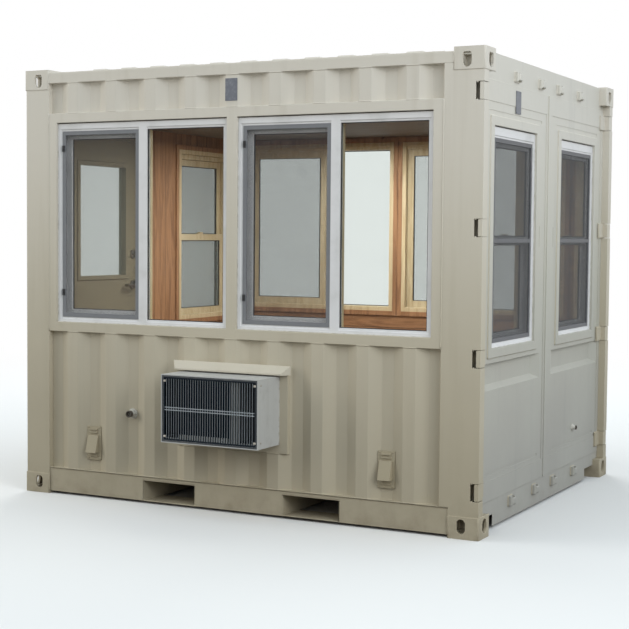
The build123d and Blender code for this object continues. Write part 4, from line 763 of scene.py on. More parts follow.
screen_cloths = {"y": bmesh.new(), "x": bmesh.new()}
screen_splines = bmesh.new()
screen_latches = bmesh.new()
for low, high in places("insect_screens"):
    facing, axis = wall_of(low, high)
    near, far = spans(low, high, facing)
    face, outward = outer_face(low, high, facing)
    edges = (near + MESH_INSET, far - MESH_INSET, low.z + MESH_INSET, high.z - MESH_INSET)
    hang_cloth(screen_cloths[facing], facing, (low[axis] + high[axis]) / 2, *edges)
    back = high[axis] if outward < 0 else low[axis]
    rod(screen_splines, outline(facing, back, *edges), SPLINE, SPLINE_STEP)
    if facing == "y":
        for level in LATCH_LEVELS:
            left = near + LATCH_INSET
            tip = face + outward * LATCH_PROUD
            bottom = low.z + level
            slab(screen_latches, (left, min(face, tip), bottom),
                 (left + LATCH_WIDE, max(face, tip), bottom + LATCH_TALL), LATCH_SOFT)
            turned(screen_latches, (left + LATCH_WIDE / 2, tip, bottom + LATCH_TALL / 2),
                   (0, outward, 0), LATCH_BUTTON)
added("screen_mesh_long_walls", screen_cloths["y"], screen_weave, "root")
added("screen_mesh_ends", screen_cloths["x"], screen_weave_fine, "root")
added("screen_splines", screen_splines, rubber.material, "root")
added("screen_latches", screen_latches, rubber.material, "root")


# The sash locks. White moulded cam locks, one on the room side of each sliding sash's meeting
# stile and one on the meeting rail of each hung window.
LOCK_LONG = 0.062
LOCK_WIDE = 0.016
LOCK_THICK = 0.007
LOCK_FROM_EDGE = 0.023
UPPER_SASH = 2.0
CAM_TALL = 0.009
CAM_SPAN = (-0.006, 0.034)
CAM_SOFT = 0.003
HUNG_CAM_TALL = 0.008
HUNG_LOCK_REACH = 0.012
LOCK_SOFT = 0.002
sash_locks = bmesh.new()
for low, high in places("slider_sashes"):
    inward = -math.copysign(1, low.y)
    room = high.y if inward > 0 else low.y
    middle = (low.z + high.z) / 2
    x = high.x - LOCK_FROM_EDGE
    seat = room + inward * LOCK_THICK
    near, far = sorted((room, seat))
    slab(sash_locks, (x - LOCK_WIDE / 2, near, middle - LOCK_LONG / 2),
         (x + LOCK_WIDE / 2, far, middle + LOCK_LONG / 2), LOCK_SOFT)
    near, far = sorted((seat, seat + inward * CAM_TALL))
    slab(sash_locks, (x + CAM_SPAN[0], near, middle + CAM_SPAN[0]),
         (x - CAM_SPAN[0], far, middle + CAM_SPAN[1]), CAM_SOFT)
for low, high in places("hung_window_sashes"):
    inward = -math.copysign(1, low.x)
    if high.z < UPPER_SASH:
        middle = (low.y + high.y) / 2
        seat = high.z + LOCK_THICK
        near, far = sorted((low.x if inward > 0 else high.x, (low.x + high.x) / 2 + inward * HUNG_LOCK_REACH))
        slab(sash_locks, (near, middle - LOCK_LONG / 2, high.z),
             (far, middle + LOCK_LONG / 2, seat), LOCK_SOFT)
        slab(sash_locks, (near, middle + CAM_SPAN[0], seat),
             (far, middle + CAM_SPAN[1], seat + HUNG_CAM_TALL), CAM_SOFT)
added("sash_locks", sash_locks, slider_vinyl, "root")


# The wood lining. Red-brown stained boards, level on the long walls and upright at the ends,
# with clear pine jambs and mitred stained casings round the windows.
STAINED = (0.360, 0.192, 0.098)
STAINED_DARK = (0.190, 0.092, 0.046)
PINE = (0.600, 0.500, 0.330)
PINE_DARK = (0.450, 0.345, 0.200)
CEILING = (0.200, 0.155, 0.120)
CEILING_DARK = (0.130, 0.098, 0.074)
PLYWOOD = (0.300, 0.190, 0.105)
PLYWOOD_DARK = (0.170, 0.100, 0.055)
JOINT_DARK = (0.020, 0.012, 0.008)
BOARD = 0.135
WIDE_BOARD = 0.6
TRIM_BOARD = 0.9
JOINT_SHARE = 0.0125
CASING = 0.033
CASING_OVER_TRIM = 0.001
CASING_SOFT = 0.0025
CORNER_STRIP = 0.020
CORNER_SOFT = 0.005
ARCHITRAVE = 0.040
ARCHITRAVE_THICK = 0.010
ARCHITRAVE_OVERLAP = 0.010
CEILING_PLAY = 0.003


def wood(name, light, dark, board_width, along, shine, joint=0.8):
    """Grain that runs along one axis, with a shade of its own on each board, and a few knots."""
    timber = Finish(name)
    reach = {"x": (0.6, 7.0, 7.0), "y": (7.0, 0.6, 7.0), "z": (7.0, 7.0, 0.6)}[along]
    across = timber.z if along in "xy" else timber.x + timber.y
    board = (across / board_width).whole()
    shade = timber.node("ShaderNodeTexWhiteNoise", {"noise_dimensions": "1D"}, {"W": board})
    place = timber.stretched(*reach)
    rings = timber.node("ShaderNodeTexNoise", {}, {"Vector": place, "Scale": 3.2, "Detail": 8.0,
                                                   "Roughness": 0.65, "Distortion": 1.2})
    grain = timber.between(rings, 0.36, 0.66)
    fine = timber.mottle(40.0, 4.0, 0.7, place=place)
    knots = timber.node("ShaderNodeTexVoronoi", {}, {"Vector": timber.stretched(1.0, 1.0, 1.0), "Scale": 3.1})
    knot = 1 - timber.between(knots, 0.020, 0.055)
    tone = grain * 0.55 + fine * 0.20 + shade * 0.35
    gap = joint * (((across / board_width).fraction() - 0.5).size() > 0.5 - JOINT_SHARE)
    base = timber.mixed(timber.between(tone, 0.15, 1.0), light, dark)
    base = timber.mixed(knot * 0.75, base, (dark[0] * 0.4, dark[1] * 0.35, dark[2] * 0.3))
    base = timber.mixed(gap, base, JOINT_DARK)
    timber.set(Base_Color=base, Roughness=shine + 0.15 * fine)
    timber.raised(fine * 0.3 + grain * 0.2 - gap * 1.5, 0.0012, 0.6)
    return timber.material


stained_level = wood("stained_boards_level", STAINED, STAINED_DARK, BOARD, "x", 0.40)
stained_upright = wood("stained_boards_upright", STAINED, STAINED_DARK, BOARD, "z", 0.40)
pine = wood("pine_trim", PINE, PINE_DARK, TRIM_BOARD, "z", 0.36, 0.0)
stained_trim = wood("stained_trim", STAINED, STAINED_DARK, TRIM_BOARD, "z", 0.36, 0.0)
ceiling_board = wood("ceiling_board", CEILING, CEILING_DARK, WIDE_BOARD, "x", 0.6)
plywood = wood("floor_plywood", PLYWOOD, PLYWOOD_DARK, WIDE_BOARD, "x", 0.5)
finish_nodes(stained_level, "front_lining", "rear_lining")
finish_nodes(stained_upright, "closed_end_lining", "door_end_lining")
finish_nodes(pine, "window_trims")
finish_nodes(ceiling_board, "ceiling_lining")
finish_nodes(plywood, "floor")
soften(0.0020, "window_trims")

room_low = Vector((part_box("closed_end_lining")[1].x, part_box("front_lining")[1].y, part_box("floor")[1].z))
room_high = Vector((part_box("door_end_lining")[0].x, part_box("rear_lining")[0].y,
                    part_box("ceiling_lining")[0].z))
casings = bmesh.new()
for low, high in places("window_trims"):
    facing, axis = wall_of(low, high)
    trim_face = min(abs(low[axis]), abs(high[axis])) - CASING_OVER_TRIM
    wall_face = room_high[axis] if facing == "y" or low.x > 0 else -room_low.x
    near, far = sorted((math.copysign(wall_face, low[axis]), math.copysign(trim_face, low[axis])))
    left, right = spans(low, high, facing)
    mitred(casings, facing, near, far, (left - CASING, right + CASING, low.z - CASING, high.z + CASING),
           CASING, CASING_SOFT)
added("window_casings", casings, stained_trim, "root")

corner_strips = bmesh.new()
for x in (room_low.x, room_high.x - CORNER_STRIP):
    for y in (room_low.y, room_high.y - CORNER_STRIP):
        slab(corner_strips, (x, y, room_low.z),
             (x + CORNER_STRIP, y + CORNER_STRIP, room_high.z), CORNER_SOFT)
frame_low, frame_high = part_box("man_door_frame")
side_top = frame_high.z - ARCHITRAVE_OVERLAP
face = frame_high.x + ARCHITRAVE_THICK
left = frame_low.y + ARCHITRAVE_OVERLAP - ARCHITRAVE
right = frame_high.y - ARCHITRAVE_OVERLAP
for y in (left, right):
    slab(corner_strips, (frame_high.x, y, room_low.z), (face, y + ARCHITRAVE, side_top), CASING_SOFT)
slab(corner_strips, (frame_high.x, left, side_top),
     (face, right + ARCHITRAVE, room_high.z - CEILING_PLAY), CASING_SOFT)
added("corner_strips", corner_strips, stained_trim, "root")


# The personnel door. A beige steel leaf in a pressed steel frame, with satin lever handles, a
# deadbolt, three hinges, a rubber seal in the frame and a sweep under the leaf. Black rings and a black bar
# are painted shade in the hinge knuckles' gaps and the deadbolt's key slot.
DOOR_BEIGE = (0.235, 0.208, 0.138)
DOOR_BEIGE_LIGHT = (0.275, 0.245, 0.170)
DOOR_SCUFFED = (0.100, 0.085, 0.060)
SATIN = (0.360, 0.330, 0.280)
SATIN_LIGHT = (0.500, 0.470, 0.420)
SCREW = ((0.0034, -0.0008), (0.0034, 0.0006), (0.0024, 0.0014), (0.0004, 0.0016))
ROSE_SCREW_APART = 0.022
INNER_ROSE = 0.002
BOLT_FACE = ((0.0160, -0.001), (0.0160, 0.003), (0.0145, 0.0045), (0.0100, 0.0045), (0.0095, 0.0030),
             (0.0005, 0.0030))
EDGE_PLATE = (0.024, 0.056)
EDGE_PLATE_SUNK = 0.0004
EDGE_PLATE_PROUD = 0.0012
EDGE_PLATE_SOFT = 0.0004
LATCH_OVER_ROSE = 0.031
HINGE_PIN = 0.0075
PIN_TIP = ((0.0062, -0.001), (0.0062, 0.0015), (0.0048, 0.0036), (0.0005, 0.0042))
KNUCKLES = 5
KNUCKLE_GAP_SHADE = ((0.0074, 0), (0.00775, 0.0002), (0.00775, 0.0010), (0.0074, 0.0012))
KEY_SLOT_SHADE = (0.0028, 0.0034, 0.0012, 0.0045)
KEY_SLOT_SOFT = 0.0002
SWEEP = (0.009, 0.004, 0.0030, 0.0005)
SWEEP_SOFT = 0.001
SEAL_FROM_LEAF = 0.0045
SEAL_INSET = 0.005
MOULDING = 0.016
PLUG_ROWS = 5
PLUG_COLUMNS = 3
door_paint = Finish("door_beige")
door_cloud = door_paint.mottle(3.0, 4.0)
door_scuffs = door_paint.between(door_paint.mottle(16.0, 7.0, 0.7), 0.58, 0.70)
door_foot = 1 - door_paint.between(door_paint.z, 0.20, 0.70)
door_base = door_paint.mixed(door_cloud, DOOR_BEIGE, DOOR_BEIGE_LIGHT)
door_paint.set(Base_Color=door_paint.mixed(door_scuffs * door_foot * 0.6, door_base, DOOR_SCUFFED),
               Roughness=0.36 + 0.1 * door_cloud)
door_paint.raised(door_paint.mottle(260.0, 2.0), 0.0005, 0.5)
finish_nodes(door_paint.material, "man_door", "man_door_frame")
soften(0.0016, "man_door_frame")
satin_steel = Finish("satin_steel")
satin_scuffs = satin_steel.mottle(60.0, 4.0, place=satin_steel.stretched(1.0, 1.0, 12.0))
satin_steel.set(Base_Color=satin_steel.mixed(satin_scuffs, SATIN, SATIN_LIGHT), Metallic=0.95,
                Roughness=0.24 + 0.16 * satin_scuffs)
satin_steel.raised(satin_steel.mottle(400.0, 2.0), 0.0002, 0.3)
finish_nodes(satin_steel.material, "man_door_locks", "door_lever", "man_door_hinges")

leaf_low, leaf_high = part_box("man_door")
pane_low, pane_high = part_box("man_door_glass")
locks = places("man_door_locks")
hinges = places("man_door_hinges")
hardware = bmesh.new()
for low, high in locks:
    outward = -1 if low.x < leaf_low.x else 1
    tip = low.x if outward < 0 else min(high.x, leaf_high.x + INNER_ROSE)
    for offset in (-ROSE_SCREW_APART, ROSE_SCREW_APART):
        turned(hardware, (tip, (low.y + high.y) / 2 + offset, (low.z + high.z) / 2), (outward, 0, 0),
               SCREW, 10)
outer_roses = sorted((pair for pair in locks if pair[0].x < leaf_low.x), key=lambda pair: pair[0].z)
bolt_low, bolt_high = outer_roses[-1]
bolt_y = (bolt_low.y + bolt_high.y) / 2
bolt_z = (bolt_low.z + bolt_high.z) / 2
turned(hardware, (bolt_low.x, bolt_y, bolt_z), (-1, 0, 0), BOLT_FACE, 24)
edge_x = (pane_low.x + pane_high.x) / 2
plate_wide, plate_tall = EDGE_PLATE
for level in (bolt_z, outer_roses[0][0].z + LATCH_OVER_ROSE):
    slab(hardware, (edge_x - plate_wide / 2, leaf_high.y - EDGE_PLATE_SUNK, level - plate_tall / 2),
         (edge_x + plate_wide / 2, leaf_high.y + EDGE_PLATE_PROUD, level + plate_tall / 2),
         EDGE_PLATE_SOFT)
for low, high in hinges:
    for level, way in ((high.z, 1), (low.z, -1)):
        turned(hardware, (low.x + HINGE_PIN, (low.y + high.y) / 2, level), (0, 0, way), PIN_TIP, 16)
added("door_hardware", hardware, satin_steel.material, "man_door")

# Painted shade: thin black rings stand for the dark gaps between the hinge knuckles, and a black bar on the
# deadbolt stands for its key slot.
sweep_and_gap_shade = bmesh.new()
for low, high in hinges:
    for knuckle in range(1, KNUCKLES):
        level = low.z + (high.z - low.z) * knuckle / KNUCKLES - KNUCKLE_GAP_SHADE[-1][1] / 2
        turned(sweep_and_gap_shade, (low.x + HINGE_PIN, (low.y + high.y) / 2, level), (0, 0, 1), KNUCKLE_GAP_SHADE, 18)
slot_near, slot_far, slot_wide, slot_tall = KEY_SLOT_SHADE
slab(sweep_and_gap_shade, (bolt_low.x - slot_far, bolt_y - slot_wide, bolt_z - slot_tall),
     (bolt_low.x - slot_near, bolt_y + slot_wide, bolt_z + slot_tall), KEY_SLOT_SOFT)
sweep_in, sweep_short, sweep_drop, sweep_sunk = SWEEP
slab(sweep_and_gap_shade, (leaf_low.x + sweep_in, leaf_low.y + sweep_short, leaf_low.z - sweep_drop),
     (leaf_high.x - sweep_in, leaf_high.y - sweep_short, leaf_low.z + sweep_sunk), SWEEP_SOFT)
added("door_sweep_and_gap_shade", sweep_and_gap_shade, rubber.material, "man_door")

door_seal = bmesh.new()
seal_x = leaf_high.x - SEAL_FROM_LEAF
seal_top = leaf_high.z - SEAL_FROM_LEAF
seal_sides = (leaf_low.y + SEAL_INSET, leaf_high.y - SEAL_INSET)
rod(door_seal, [Vector((seal_x, y, z)) for y, z in ((seal_sides[0], leaf_low.z), (seal_sides[0], seal_top),
                                                    (seal_sides[1], seal_top), (seal_sides[1], leaf_low.z))],
    SEAL, SEAL_STEP)
added("door_frame_seal", door_seal, rubber.material, "root")

plugs = bmesh.new()
for row in range(PLUG_ROWS):
    z = pane_low.z + (pane_high.z - pane_low.z) * (row + 0.5) / PLUG_ROWS
    for y in (pane_low.y - MOULDING, pane_high.y + MOULDING):
        turned(plugs, (leaf_high.x, y, z), (1, 0, 0), SCREW, 12)
for column in range(PLUG_COLUMNS):
    y = pane_low.y + (pane_high.y - pane_low.y) * (column + 0.5) / PLUG_COLUMNS
    for z in (pane_low.z - MOULDING, pane_high.z + MOULDING):
        turned(plugs, (leaf_high.x, y, z), (1, 0, 0), SCREW, 12)
added("door_glass_screws", plugs, door_paint.material, "man_door")


# The air conditioner. A pale grey sheet case with a dark front edge round a dark finned coil,
# upright wires over it with a painted highlight down their fronts and painted shade on their sides,
# black foam in the cavities beside it that also stands as painted shade, and a plastic front in the room.
CASE_GREY = (0.500, 0.500, 0.480)
CASE_DULL = (0.330, 0.320, 0.290)
FLANGE_DARK = (0.040, 0.044, 0.048)
FLANGE_DUSTY = (0.120, 0.118, 0.110)
GRILLE_RIM = 0.008
GRILLE_RIM_PLAY = 0.001
FRONT_LAYER = 0.0012
FLANGE_EDGE = 0.0045
WIRE_PITCH = 0.016
WIRE_HIGHLIGHT_SHARE = 0.060
CROSS_WIRES = 0.012
WIRE_HIGHLIGHT = (0.280, 0.310, 0.330)
WIRE_HIGHLIGHT_BRIGHTEST = (0.460, 0.490, 0.510)
WIRE_SHADE = (0.008, 0.013, 0.019)
COIL_BLUE = (0.008, 0.024, 0.044)
COIL_DUSTY = (0.034, 0.058, 0.082)
COIL_FIN_PITCH = 0.0023
COIL_FIN_DEEP = 0.011
COIL_FIN_HALF = 0.00016
COIL_CRUSH = 0.0010
CRUSHED_SHARE = 0.2
case_paint = Finish("ac_case_grey")
case_marks = case_paint.between(case_paint.mottle(12.0, 6.0, 0.6), 0.48, 0.80)
case_streaks = case_paint.mottle(26.0, 3.0, place=case_paint.stretched(1.0, 1.0, 0.08))
case_base = case_paint.mixed(case_marks * 0.35, CASE_GREY, CASE_DULL)
case_base = case_paint.mixed(case_paint.between(case_streaks, 0.55, 0.80) * 0.25, case_base, CASE_DULL)
ac_low, ac_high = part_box("ac_case")
ac_middle = (ac_low + ac_high) / 2
ac_reach = (ac_high - ac_low) / 2
flange = ((case_paint.x - ac_middle.x).size() < ac_reach.x - FLANGE_EDGE) * (
    (case_paint.z - ac_middle.z).size() < ac_reach.z - FLANGE_EDGE)
flange = flange * (case_paint.y < ac_low.y + FRONT_LAYER)
flange_colour = case_paint.mixed(case_marks, FLANGE_DARK, FLANGE_DUSTY)
case_paint.set(Base_Color=case_paint.mixed(flange, case_base, flange_colour),
               Roughness=0.42 + 0.15 * case_marks)
case_paint.raised(case_paint.mottle(350.0, 2.0), 0.0005, 0.4)
finish_nodes(case_paint.material, "ac_case")
soften(0.0012, "ac_case")

grille_low, grille_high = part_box("ac_grille")
grille_middle = (grille_low + grille_high) / 2
grille_reach = (grille_high - grille_low) / 2
wire_count = int((2 * grille_reach.x - 2 * GRILLE_RIM) / WIRE_PITCH)
# Painted highlight and shade: a narrow bright stripe down the middle of each wire's front, and along a middle
# cross band, is a painted highlight. The dark rest of the grille is painted shade.
wire_metal = Finish("ac_fin_metal")
wire_streak = wire_metal.mottle(30.0, 3.0)
wire_x = (wire_metal.x - grille_middle.x).size()
wire_z = (wire_metal.z - grille_middle.z).size()
wire_place = (wire_metal.x - grille_middle.x) / WIRE_PITCH + 0.5 * (wire_count % 2)
wire_highlights = ((wire_place.fraction() - 0.5).size() < WIRE_HIGHLIGHT_SHARE).most(wire_z < CROSS_WIRES)
rim_inside = GRILLE_RIM + GRILLE_RIM_PLAY
wire_rim = (wire_x > grille_reach.x - rim_inside).most(wire_z > grille_reach.z - rim_inside)
wire_highlights = (wire_metal.y < grille_low.y + FRONT_LAYER) * wire_highlights * (1 - wire_rim)
wire_metal.set(Base_Color=wire_metal.mixed(wire_highlights, WIRE_SHADE,
                                           wire_metal.mixed(wire_streak, WIRE_HIGHLIGHT, WIRE_HIGHLIGHT_BRIGHTEST)),
               Roughness=0.42 + 0.12 * wire_streak, Specular_IOR_Level=0.12)
wire_metal.raised(wire_metal.mottle(200.0, 2.0), 0.0004, 0.4)
finish_nodes(wire_metal.material, "ac_grille")

coil_metal = Finish("ac_coil_dark")
coil_dust = coil_metal.between(coil_metal.mottle(22.0, 6.0, 0.65), 0.45, 0.80)
coil_metal.set(Base_Color=coil_metal.mixed(coil_dust * 0.5, COIL_BLUE, COIL_DUSTY),
               Roughness=0.5 + 0.2 * coil_dust, Specular_IOR_Level=0.12)
finish_nodes(coil_metal.material, "ac_coil")
coil_low, coil_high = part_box("ac_coil")
coil_fins = bmesh.new()
for index in range(int((coil_high.x - coil_low.x) / COIL_FIN_PITCH)):
    x = coil_low.x + (index + 0.5) * COIL_FIN_PITCH
    crush = COIL_CRUSH * rng.uniform(-1, 1) * (rng.random() < CRUSHED_SHARE)
    corners = [coil_fins.verts.new((x + side + (crush if y < coil_low.y else 0), y, z))
               for side in (-COIL_FIN_HALF, COIL_FIN_HALF) for y in (coil_low.y - COIL_FIN_DEEP, coil_low.y)
               for z in (coil_low.z, coil_high.z)]
    for face in ((0, 1, 3, 2), (4, 5, 7, 6), (0, 1, 5, 4), (2, 3, 7, 6), (0, 2, 6, 4), (1, 3, 7, 5)):
        coil_fins.faces.new([corners[corner] for corner in face])
added("coil_fins", coil_fins, coil_metal.material, "root")

PAN_EDGE = 0.046
PAN_INSET = 0.004
PAN_SPAN = (0.020, 0.0125)
PAN_SOFT = 0.0015
drain_pan = bmesh.new()
slab(drain_pan, (coil_low.x + PAN_INSET, coil_low.y - PAN_SPAN[0], coil_low.z),
     (coil_high.x - PAN_INSET, coil_low.y - PAN_SPAN[1], coil_low.z + PAN_EDGE), PAN_SOFT)
added("ac_drain_pan", drain_pan, case_paint.material, "root")

# Black foam sheets line the cavities beside the coil. They also stand as painted shade, keeping the cavities
# dark.
FOAM = 0.004
FOAM_LIP = 0.012
FOAM_SOFT = 0.001
CASE_WALL = 0.003
CASE_FLOOR = 0.027
DIVIDERS = (-0.013, 0.054)
foam_and_shade_lining = bmesh.new()
foam_floor = ac_low.z + CASE_FLOOR
foam_roof = ac_high.z - CASE_WALL
foam_lip = coil_low.y - FOAM_LIP
foam_back = coil_high.y
for wall_x, divider_x in ((ac_low.x + CASE_WALL, coil_low.x + DIVIDERS[0]),
                          (ac_high.x - CASE_WALL, coil_high.x + DIVIDERS[1])):
    near, far = sorted((wall_x, divider_x))
    side_near, side_far = sorted((wall_x, wall_x + math.copysign(FOAM, divider_x - wall_x)))
    for low, high in (((near, foam_back - FOAM, foam_floor), (far, foam_back, foam_roof)),
                      ((near, foam_lip, foam_roof - FOAM), (far, foam_back, foam_roof)),
                      ((near, coil_low.y, foam_floor - FOAM_SOFT), (far, foam_back, foam_floor + FOAM)),
                      ((side_near, foam_lip, foam_floor), (side_far, foam_back, foam_roof))):
        slab(foam_and_shade_lining, low, high, FOAM_SOFT)
added("ac_foam_and_shade_lining", foam_and_shade_lining, rubber.material, "root")

PAN_HEAD = ((0.0052, -0.001), (0.0052, 0.0012), (0.0044, 0.0026), (0.0022, 0.0034), (0.0004, 0.0036))
CLIP_HEAD = ((0.0050, 0.0), (0.0046, 0.0010), (0.0026, 0.0016), (0.0004, 0.0018))
CLIP = (0.008, 0.006)
CLIP_INSET = (0.008, 0.022)
CLIP_SPAN = (-0.0003, 0.004)
CLIP_SOFT = 0.001
CASE_SCREW_INSET = (0.032, 0.035)
case_screws = bmesh.new()
for x in (grille_low.x + CLIP_INSET[0], grille_high.x - CLIP_INSET[0]):
    for z in (grille_low.z + CLIP_INSET[1], grille_high.z - CLIP_INSET[1]):
        slab(case_screws, (x - CLIP[0], grille_low.y + CLIP_SPAN[0], z - CLIP[1]),
             (x + CLIP[0], grille_low.y + CLIP_SPAN[1], z + CLIP[1]), CLIP_SOFT)
        turned(case_screws, (x, grille_low.y, z), (0, -1, 0), CLIP_HEAD, 12)
for outward, x in ((-1, ac_low.x), (1, ac_high.x)):
    for z in (ac_low.z + CASE_SCREW_INSET[1], ac_high.z - CASE_SCREW_INSET[1]):
        turned(case_screws, (x, ac_low.y + CASE_SCREW_INSET[0], z), (outward, 0, 0), PAN_HEAD, 12)
added("ac_case_screws", case_screws, satin_steel.material, "root")

HEM = 0.0008
HEM_WIDE = 0.004
HEM_SPAN = (0.0001, 0.012)
HEM_SOFT = 0.0005
CASE_CAULK = (0.0034, 0.05, 0.04)
case_hem = bmesh.new()
mitred(case_hem, "y", ac_low.y + HEM_SPAN[0], ac_low.y + HEM_SPAN[1],
       (ac_low.x - HEM, ac_high.x + HEM, ac_low.z - HEM, ac_high.z + HEM), HEM_WIDE, HEM_SOFT)
added("ac_case_hem", case_hem, case_paint.material, "root")
case_caulk = bmesh.new()
rod(case_caulk, outline("y", case_low.y - SUNK, ac_low.x, ac_high.x, ac_low.z, ac_high.z), *CASE_CAULK)
added("ac_caulk", case_caulk, caulk_line.material, "root")

BEZEL = (0.560, 0.555, 0.530)
BEZEL_YELLOWED = (0.480, 0.475, 0.440)
BEZEL_WIDE = 0.030
BEZEL_DEEP = 0.022
BEZEL_OVER_CASE = 0.012
BEZEL_SUNK = 0.010
BEZEL_SOFT = 0.004
SLAT_COUNT = 15
SLAT_HALF = 0.0045
SLAT_SPAN = (0.002, 0.017)
SLAT_SOFT = 0.002
PANEL_WIDE = 0.150
PANEL_DEEP = 0.016
PANEL_OVER_SLATS = 0.004
PANEL_FROM_END = 0.014
PANEL_SOFT = 0.003
KNOB = ((0.021, -0.001), (0.021, 0.004), (0.0185, 0.006), (0.0170, 0.018), (0.0150, 0.020), (0.0005, 0.020))
KNOB_X = 0.068
KNOB_FROM_END = 0.10
bezel_plastic = Finish("ac_front_plastic")
bezel_tone = bezel_plastic.mottle(7.0, 4.0)
bezel_plastic.set(Base_Color=bezel_plastic.mixed(bezel_tone, BEZEL, BEZEL_YELLOWED),
                  Roughness=0.40 + 0.1 * bezel_tone)
bezel_plastic.raised(bezel_plastic.mottle(420.0, 2.0), 0.0004, 0.5)
room_front = bmesh.new()
face = ac_high.y
mitred(room_front, "y", face - BEZEL_SUNK, face + BEZEL_DEEP,
       (ac_low.x - BEZEL_OVER_CASE, ac_high.x + BEZEL_OVER_CASE,
        ac_low.z - BEZEL_OVER_CASE, ac_high.z + BEZEL_OVER_CASE), BEZEL_WIDE, BEZEL_SOFT)
slat_low = ac_low.z + BEZEL_WIDE
slat_high = ac_high.z - BEZEL_WIDE
panel_x = ac_high.x - PANEL_WIDE
for index in range(SLAT_COUNT):
    z = slat_low + (slat_high - slat_low) * (index + 0.5) / SLAT_COUNT
    slab(room_front, (ac_low.x + BEZEL_OVER_CASE, face + SLAT_SPAN[0], z - SLAT_HALF),
         (panel_x, face + SLAT_SPAN[1], z + SLAT_HALF), SLAT_SOFT)
slab(room_front, (panel_x, face - SUNK, slat_low - PANEL_OVER_SLATS),
     (ac_high.x - PANEL_FROM_END, face + PANEL_DEEP, slat_high + PANEL_OVER_SLATS), PANEL_SOFT)
for z in (slat_low + KNOB_FROM_END, slat_high - KNOB_FROM_END):
    turned(room_front, (panel_x + KNOB_X, face + PANEL_DEEP, z), (0, 1, 0), KNOB, 28)
added("ac_room_front", room_front, bezel_plastic.material, "root")


# The small plastic fittings. Moulded cable covers and a pipe end in the front wall, screwed
# on and painted over with the wall.
COVER_PROUD = 0.0145
COVER_SCREW_SIDE = 0.012
COVER_SCREW_LOW = 0.010
COVER_SCREW_HIGH = 0.008
BRONZE = (0.045, 0.037, 0.028)
BRONZE_WORN = (0.110, 0.095, 0.075)
PIPE_CREAM = (0.560, 0.540, 0.480)
PIPE_NUT = 0.021
PIPE_RIM = 0.006
cover_plastic = container_paint("cover_cream", 0.88, 0.1, 0.5)
finish_nodes(cover_plastic, "cable_covers")
stub_low, stub_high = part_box("pipe_stub")
pipe_end = Finish("pipe_end_bronze")
pipe_scuffs = pipe_end.mottle(90.0, 4.0)
pipe_neck = (pipe_end.y > stub_low.y + PIPE_NUT) * (pipe_end.x < stub_high.x - PIPE_RIM)
pipe_colour = pipe_end.mixed(pipe_scuffs, BRONZE, BRONZE_WORN)
pipe_end.set(Base_Color=pipe_end.mixed(pipe_neck, pipe_colour, PIPE_CREAM),
             Roughness=0.45 + 0.2 * pipe_scuffs)
pipe_end.raised(pipe_end.mottle(200.0, 2.0), 0.0003, 0.4)
finish_nodes(pipe_end.material, "pipe_stub")
soften(0.0015, "cable_covers", "pipe_stub")
cover_screws = bmesh.new()
for low, high in places("cable_covers"):
    for z in (low.z + COVER_SCREW_LOW, high.z - COVER_SCREW_HIGH):
        for x in (low.x + COVER_SCREW_SIDE, high.x - COVER_SCREW_SIDE):
            turned(cover_screws, (x, high.y - COVER_PROUD, z), (0, -1, 0), PAN_HEAD, 12)
added("cover_screws", cover_screws, cover_plastic, "root")


# The studio. A pale floor that fades to white, air that is warm low down and cool above,
# and large soft lamps. The booth's steel sees a darker floor than the camera does.
FLOOR_RADIUS = 40.0
FLOOR_DROP = 0.0005
FLOOR_PALE = (0.82, 0.80, 0.77)
FLOOR_NEAR = (0.070, 0.060, 0.048)
FLOOR_FAR = (0.300, 0.285, 0.255)
FLOOR_NEAR_SPAN = (2.0, 7.0)
FLOOR_FADE_SPAN = (3.2, 11.0)
AIR_HIGH = (0.78, 0.90, 1.0)
AIR_LOW = (1.0, 0.93, 0.83)
AIR_SIDE_SPAN = (-0.4, 0.8)
AIR_HEIGHT_SPAN = (0.0, 0.7)
AIR_POWER_SPAN = (0.0, 0.8)
AIR_POWER = (0.50, 1.05)
ROOM_LAMP_DROP = 0.06
studio_mesh = bpy.data.meshes.new("studio_floor")
studio = bmesh.new()
bmesh.ops.create_circle(studio, cap_ends=True, radius=FLOOR_RADIUS, segments=96,
                        matrix=Matrix.Translation((0, 0, cad_box[0].z - FLOOR_DROP)))
studio.to_mesh(studio_mesh)
studio.free()
studio_floor = bpy.data.objects.new("studio_floor", studio_mesh)
bpy.context.scene.collection.objects.link(studio_floor)


def ray_kinds(finish):
    """What looks at a surface: the camera, a mirrored ray, a ray that came through glass."""
    rays = finish.node("ShaderNodeLightPath", {}, {}).socket.node.outputs
    return [Level(finish, rays[kind]) for kind in ("Is Camera Ray", "Is Glossy Ray", "Is Transmission Ray")]


pale = Finish("studio_pale")
seen_first, seen_mirrored, seen_through = ray_kinds(pale)
pale_seen = seen_first + seen_mirrored + seen_through
pale_distance = (pale.x * pale.x + pale.y * pale.y) ** 0.5
pale_bounce = pale.mixed(pale.between(pale_distance, *FLOOR_NEAR_SPAN), FLOOR_NEAR, FLOOR_FAR)
pale.set(Base_Color=pale.mixed(pale_seen, pale_bounce, FLOOR_PALE), Roughness=0.9, Specular_IOR_Level=0.0)
pale_fade = pale.between(pale_distance, *FLOOR_FADE_SPAN) * pale_seen
pale.blend(pale_fade, pale.surface, pale.shader("ShaderNodeEmission", Strength=1.0))
studio_mesh.materials.append(pale.material)


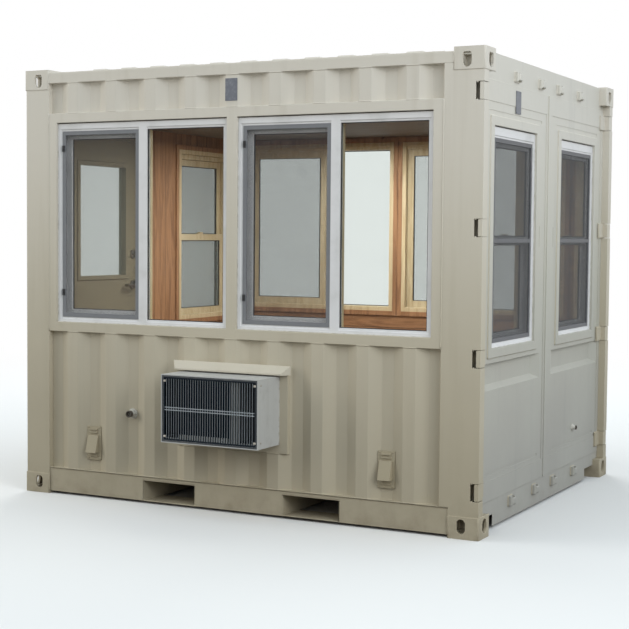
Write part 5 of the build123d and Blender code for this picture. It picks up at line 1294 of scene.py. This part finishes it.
class Air(Finish):
    """The air round the booth, with the same ways to add nodes as a finish."""

    def __init__(self, name):
        self.world = bpy.data.worlds.new(name)
        self.world.use_nodes = True
        self.tree = self.world.node_tree
        self.tree.nodes.clear()
        self.ending = self.tree.nodes.new("ShaderNodeOutputWorld")
        self.place = self.node("ShaderNodeTexCoord", {}, {}, output="Generated")
        self.x, self.y, self.z = self.split(self.place)

    def rising(self, value, span, powers=(0.0, 1.0)):
        """From the first power to the second, in a straight line over the span."""
        return self.node("ShaderNodeMapRange", {}, dict(enumerate((value, *span, *powers))))


air = Air("studio_air")
bpy.context.scene.world = air.world
cool = air.rising(air.x, AIR_SIDE_SPAN).most(air.rising(air.z, AIR_HEIGHT_SPAN))
seen_first, seen_mirrored, seen_through = ray_kinds(air)
air.blend(seen_first.most(seen_mirrored).most(seen_through),
          air.shader("ShaderNodeBackground", Color=air.mixed(cool, AIR_LOW, AIR_HIGH),
                     Strength=air.rising(air.z, AIR_POWER_SPAN, AIR_POWER)),
          air.shader("ShaderNodeBackground", Color=(1, 1, 1)))


def lamp(name, place, target, width, power, tint):
    """A large soft lamp that looks at a point."""
    data = bpy.data.lights.new(name, "AREA")
    data.shape = "SQUARE"
    data.size = width
    data.energy = power
    data.color = tint
    made = bpy.data.objects.new(name, data)
    made.location = place
    made.rotation_mode = "QUATERNION"
    made.rotation_quaternion = (Vector(target) - Vector(place)).to_track_quat("-Z", "Y")
    made.visible_camera = False
    made.visible_glossy = False
    made.visible_transmission = False
    bpy.context.scene.collection.objects.link(made)


lamp("left_softbox", (-11.9, -6.4, 5.2), (0, -1, 1.5), 8.0, 590, (1.0, 0.98, 0.93))
lamp("right_softbox", (9.9, -5.6, 5.2), (1, -0.5, 1.5), 6.0, 560, (0.96, 0.98, 1.0))
lamp("rear_softbox", (-4.0, 8.0, 6.0), (0, 1, 1.4), 4.5, 300, (1.0, 1.0, 1.0))
lamp("room_softbox", (0, 0, room_high.z - ROOM_LAMP_DROP), (0, 0, 0), 1.4, 56, (1.0, 0.96, 0.90))
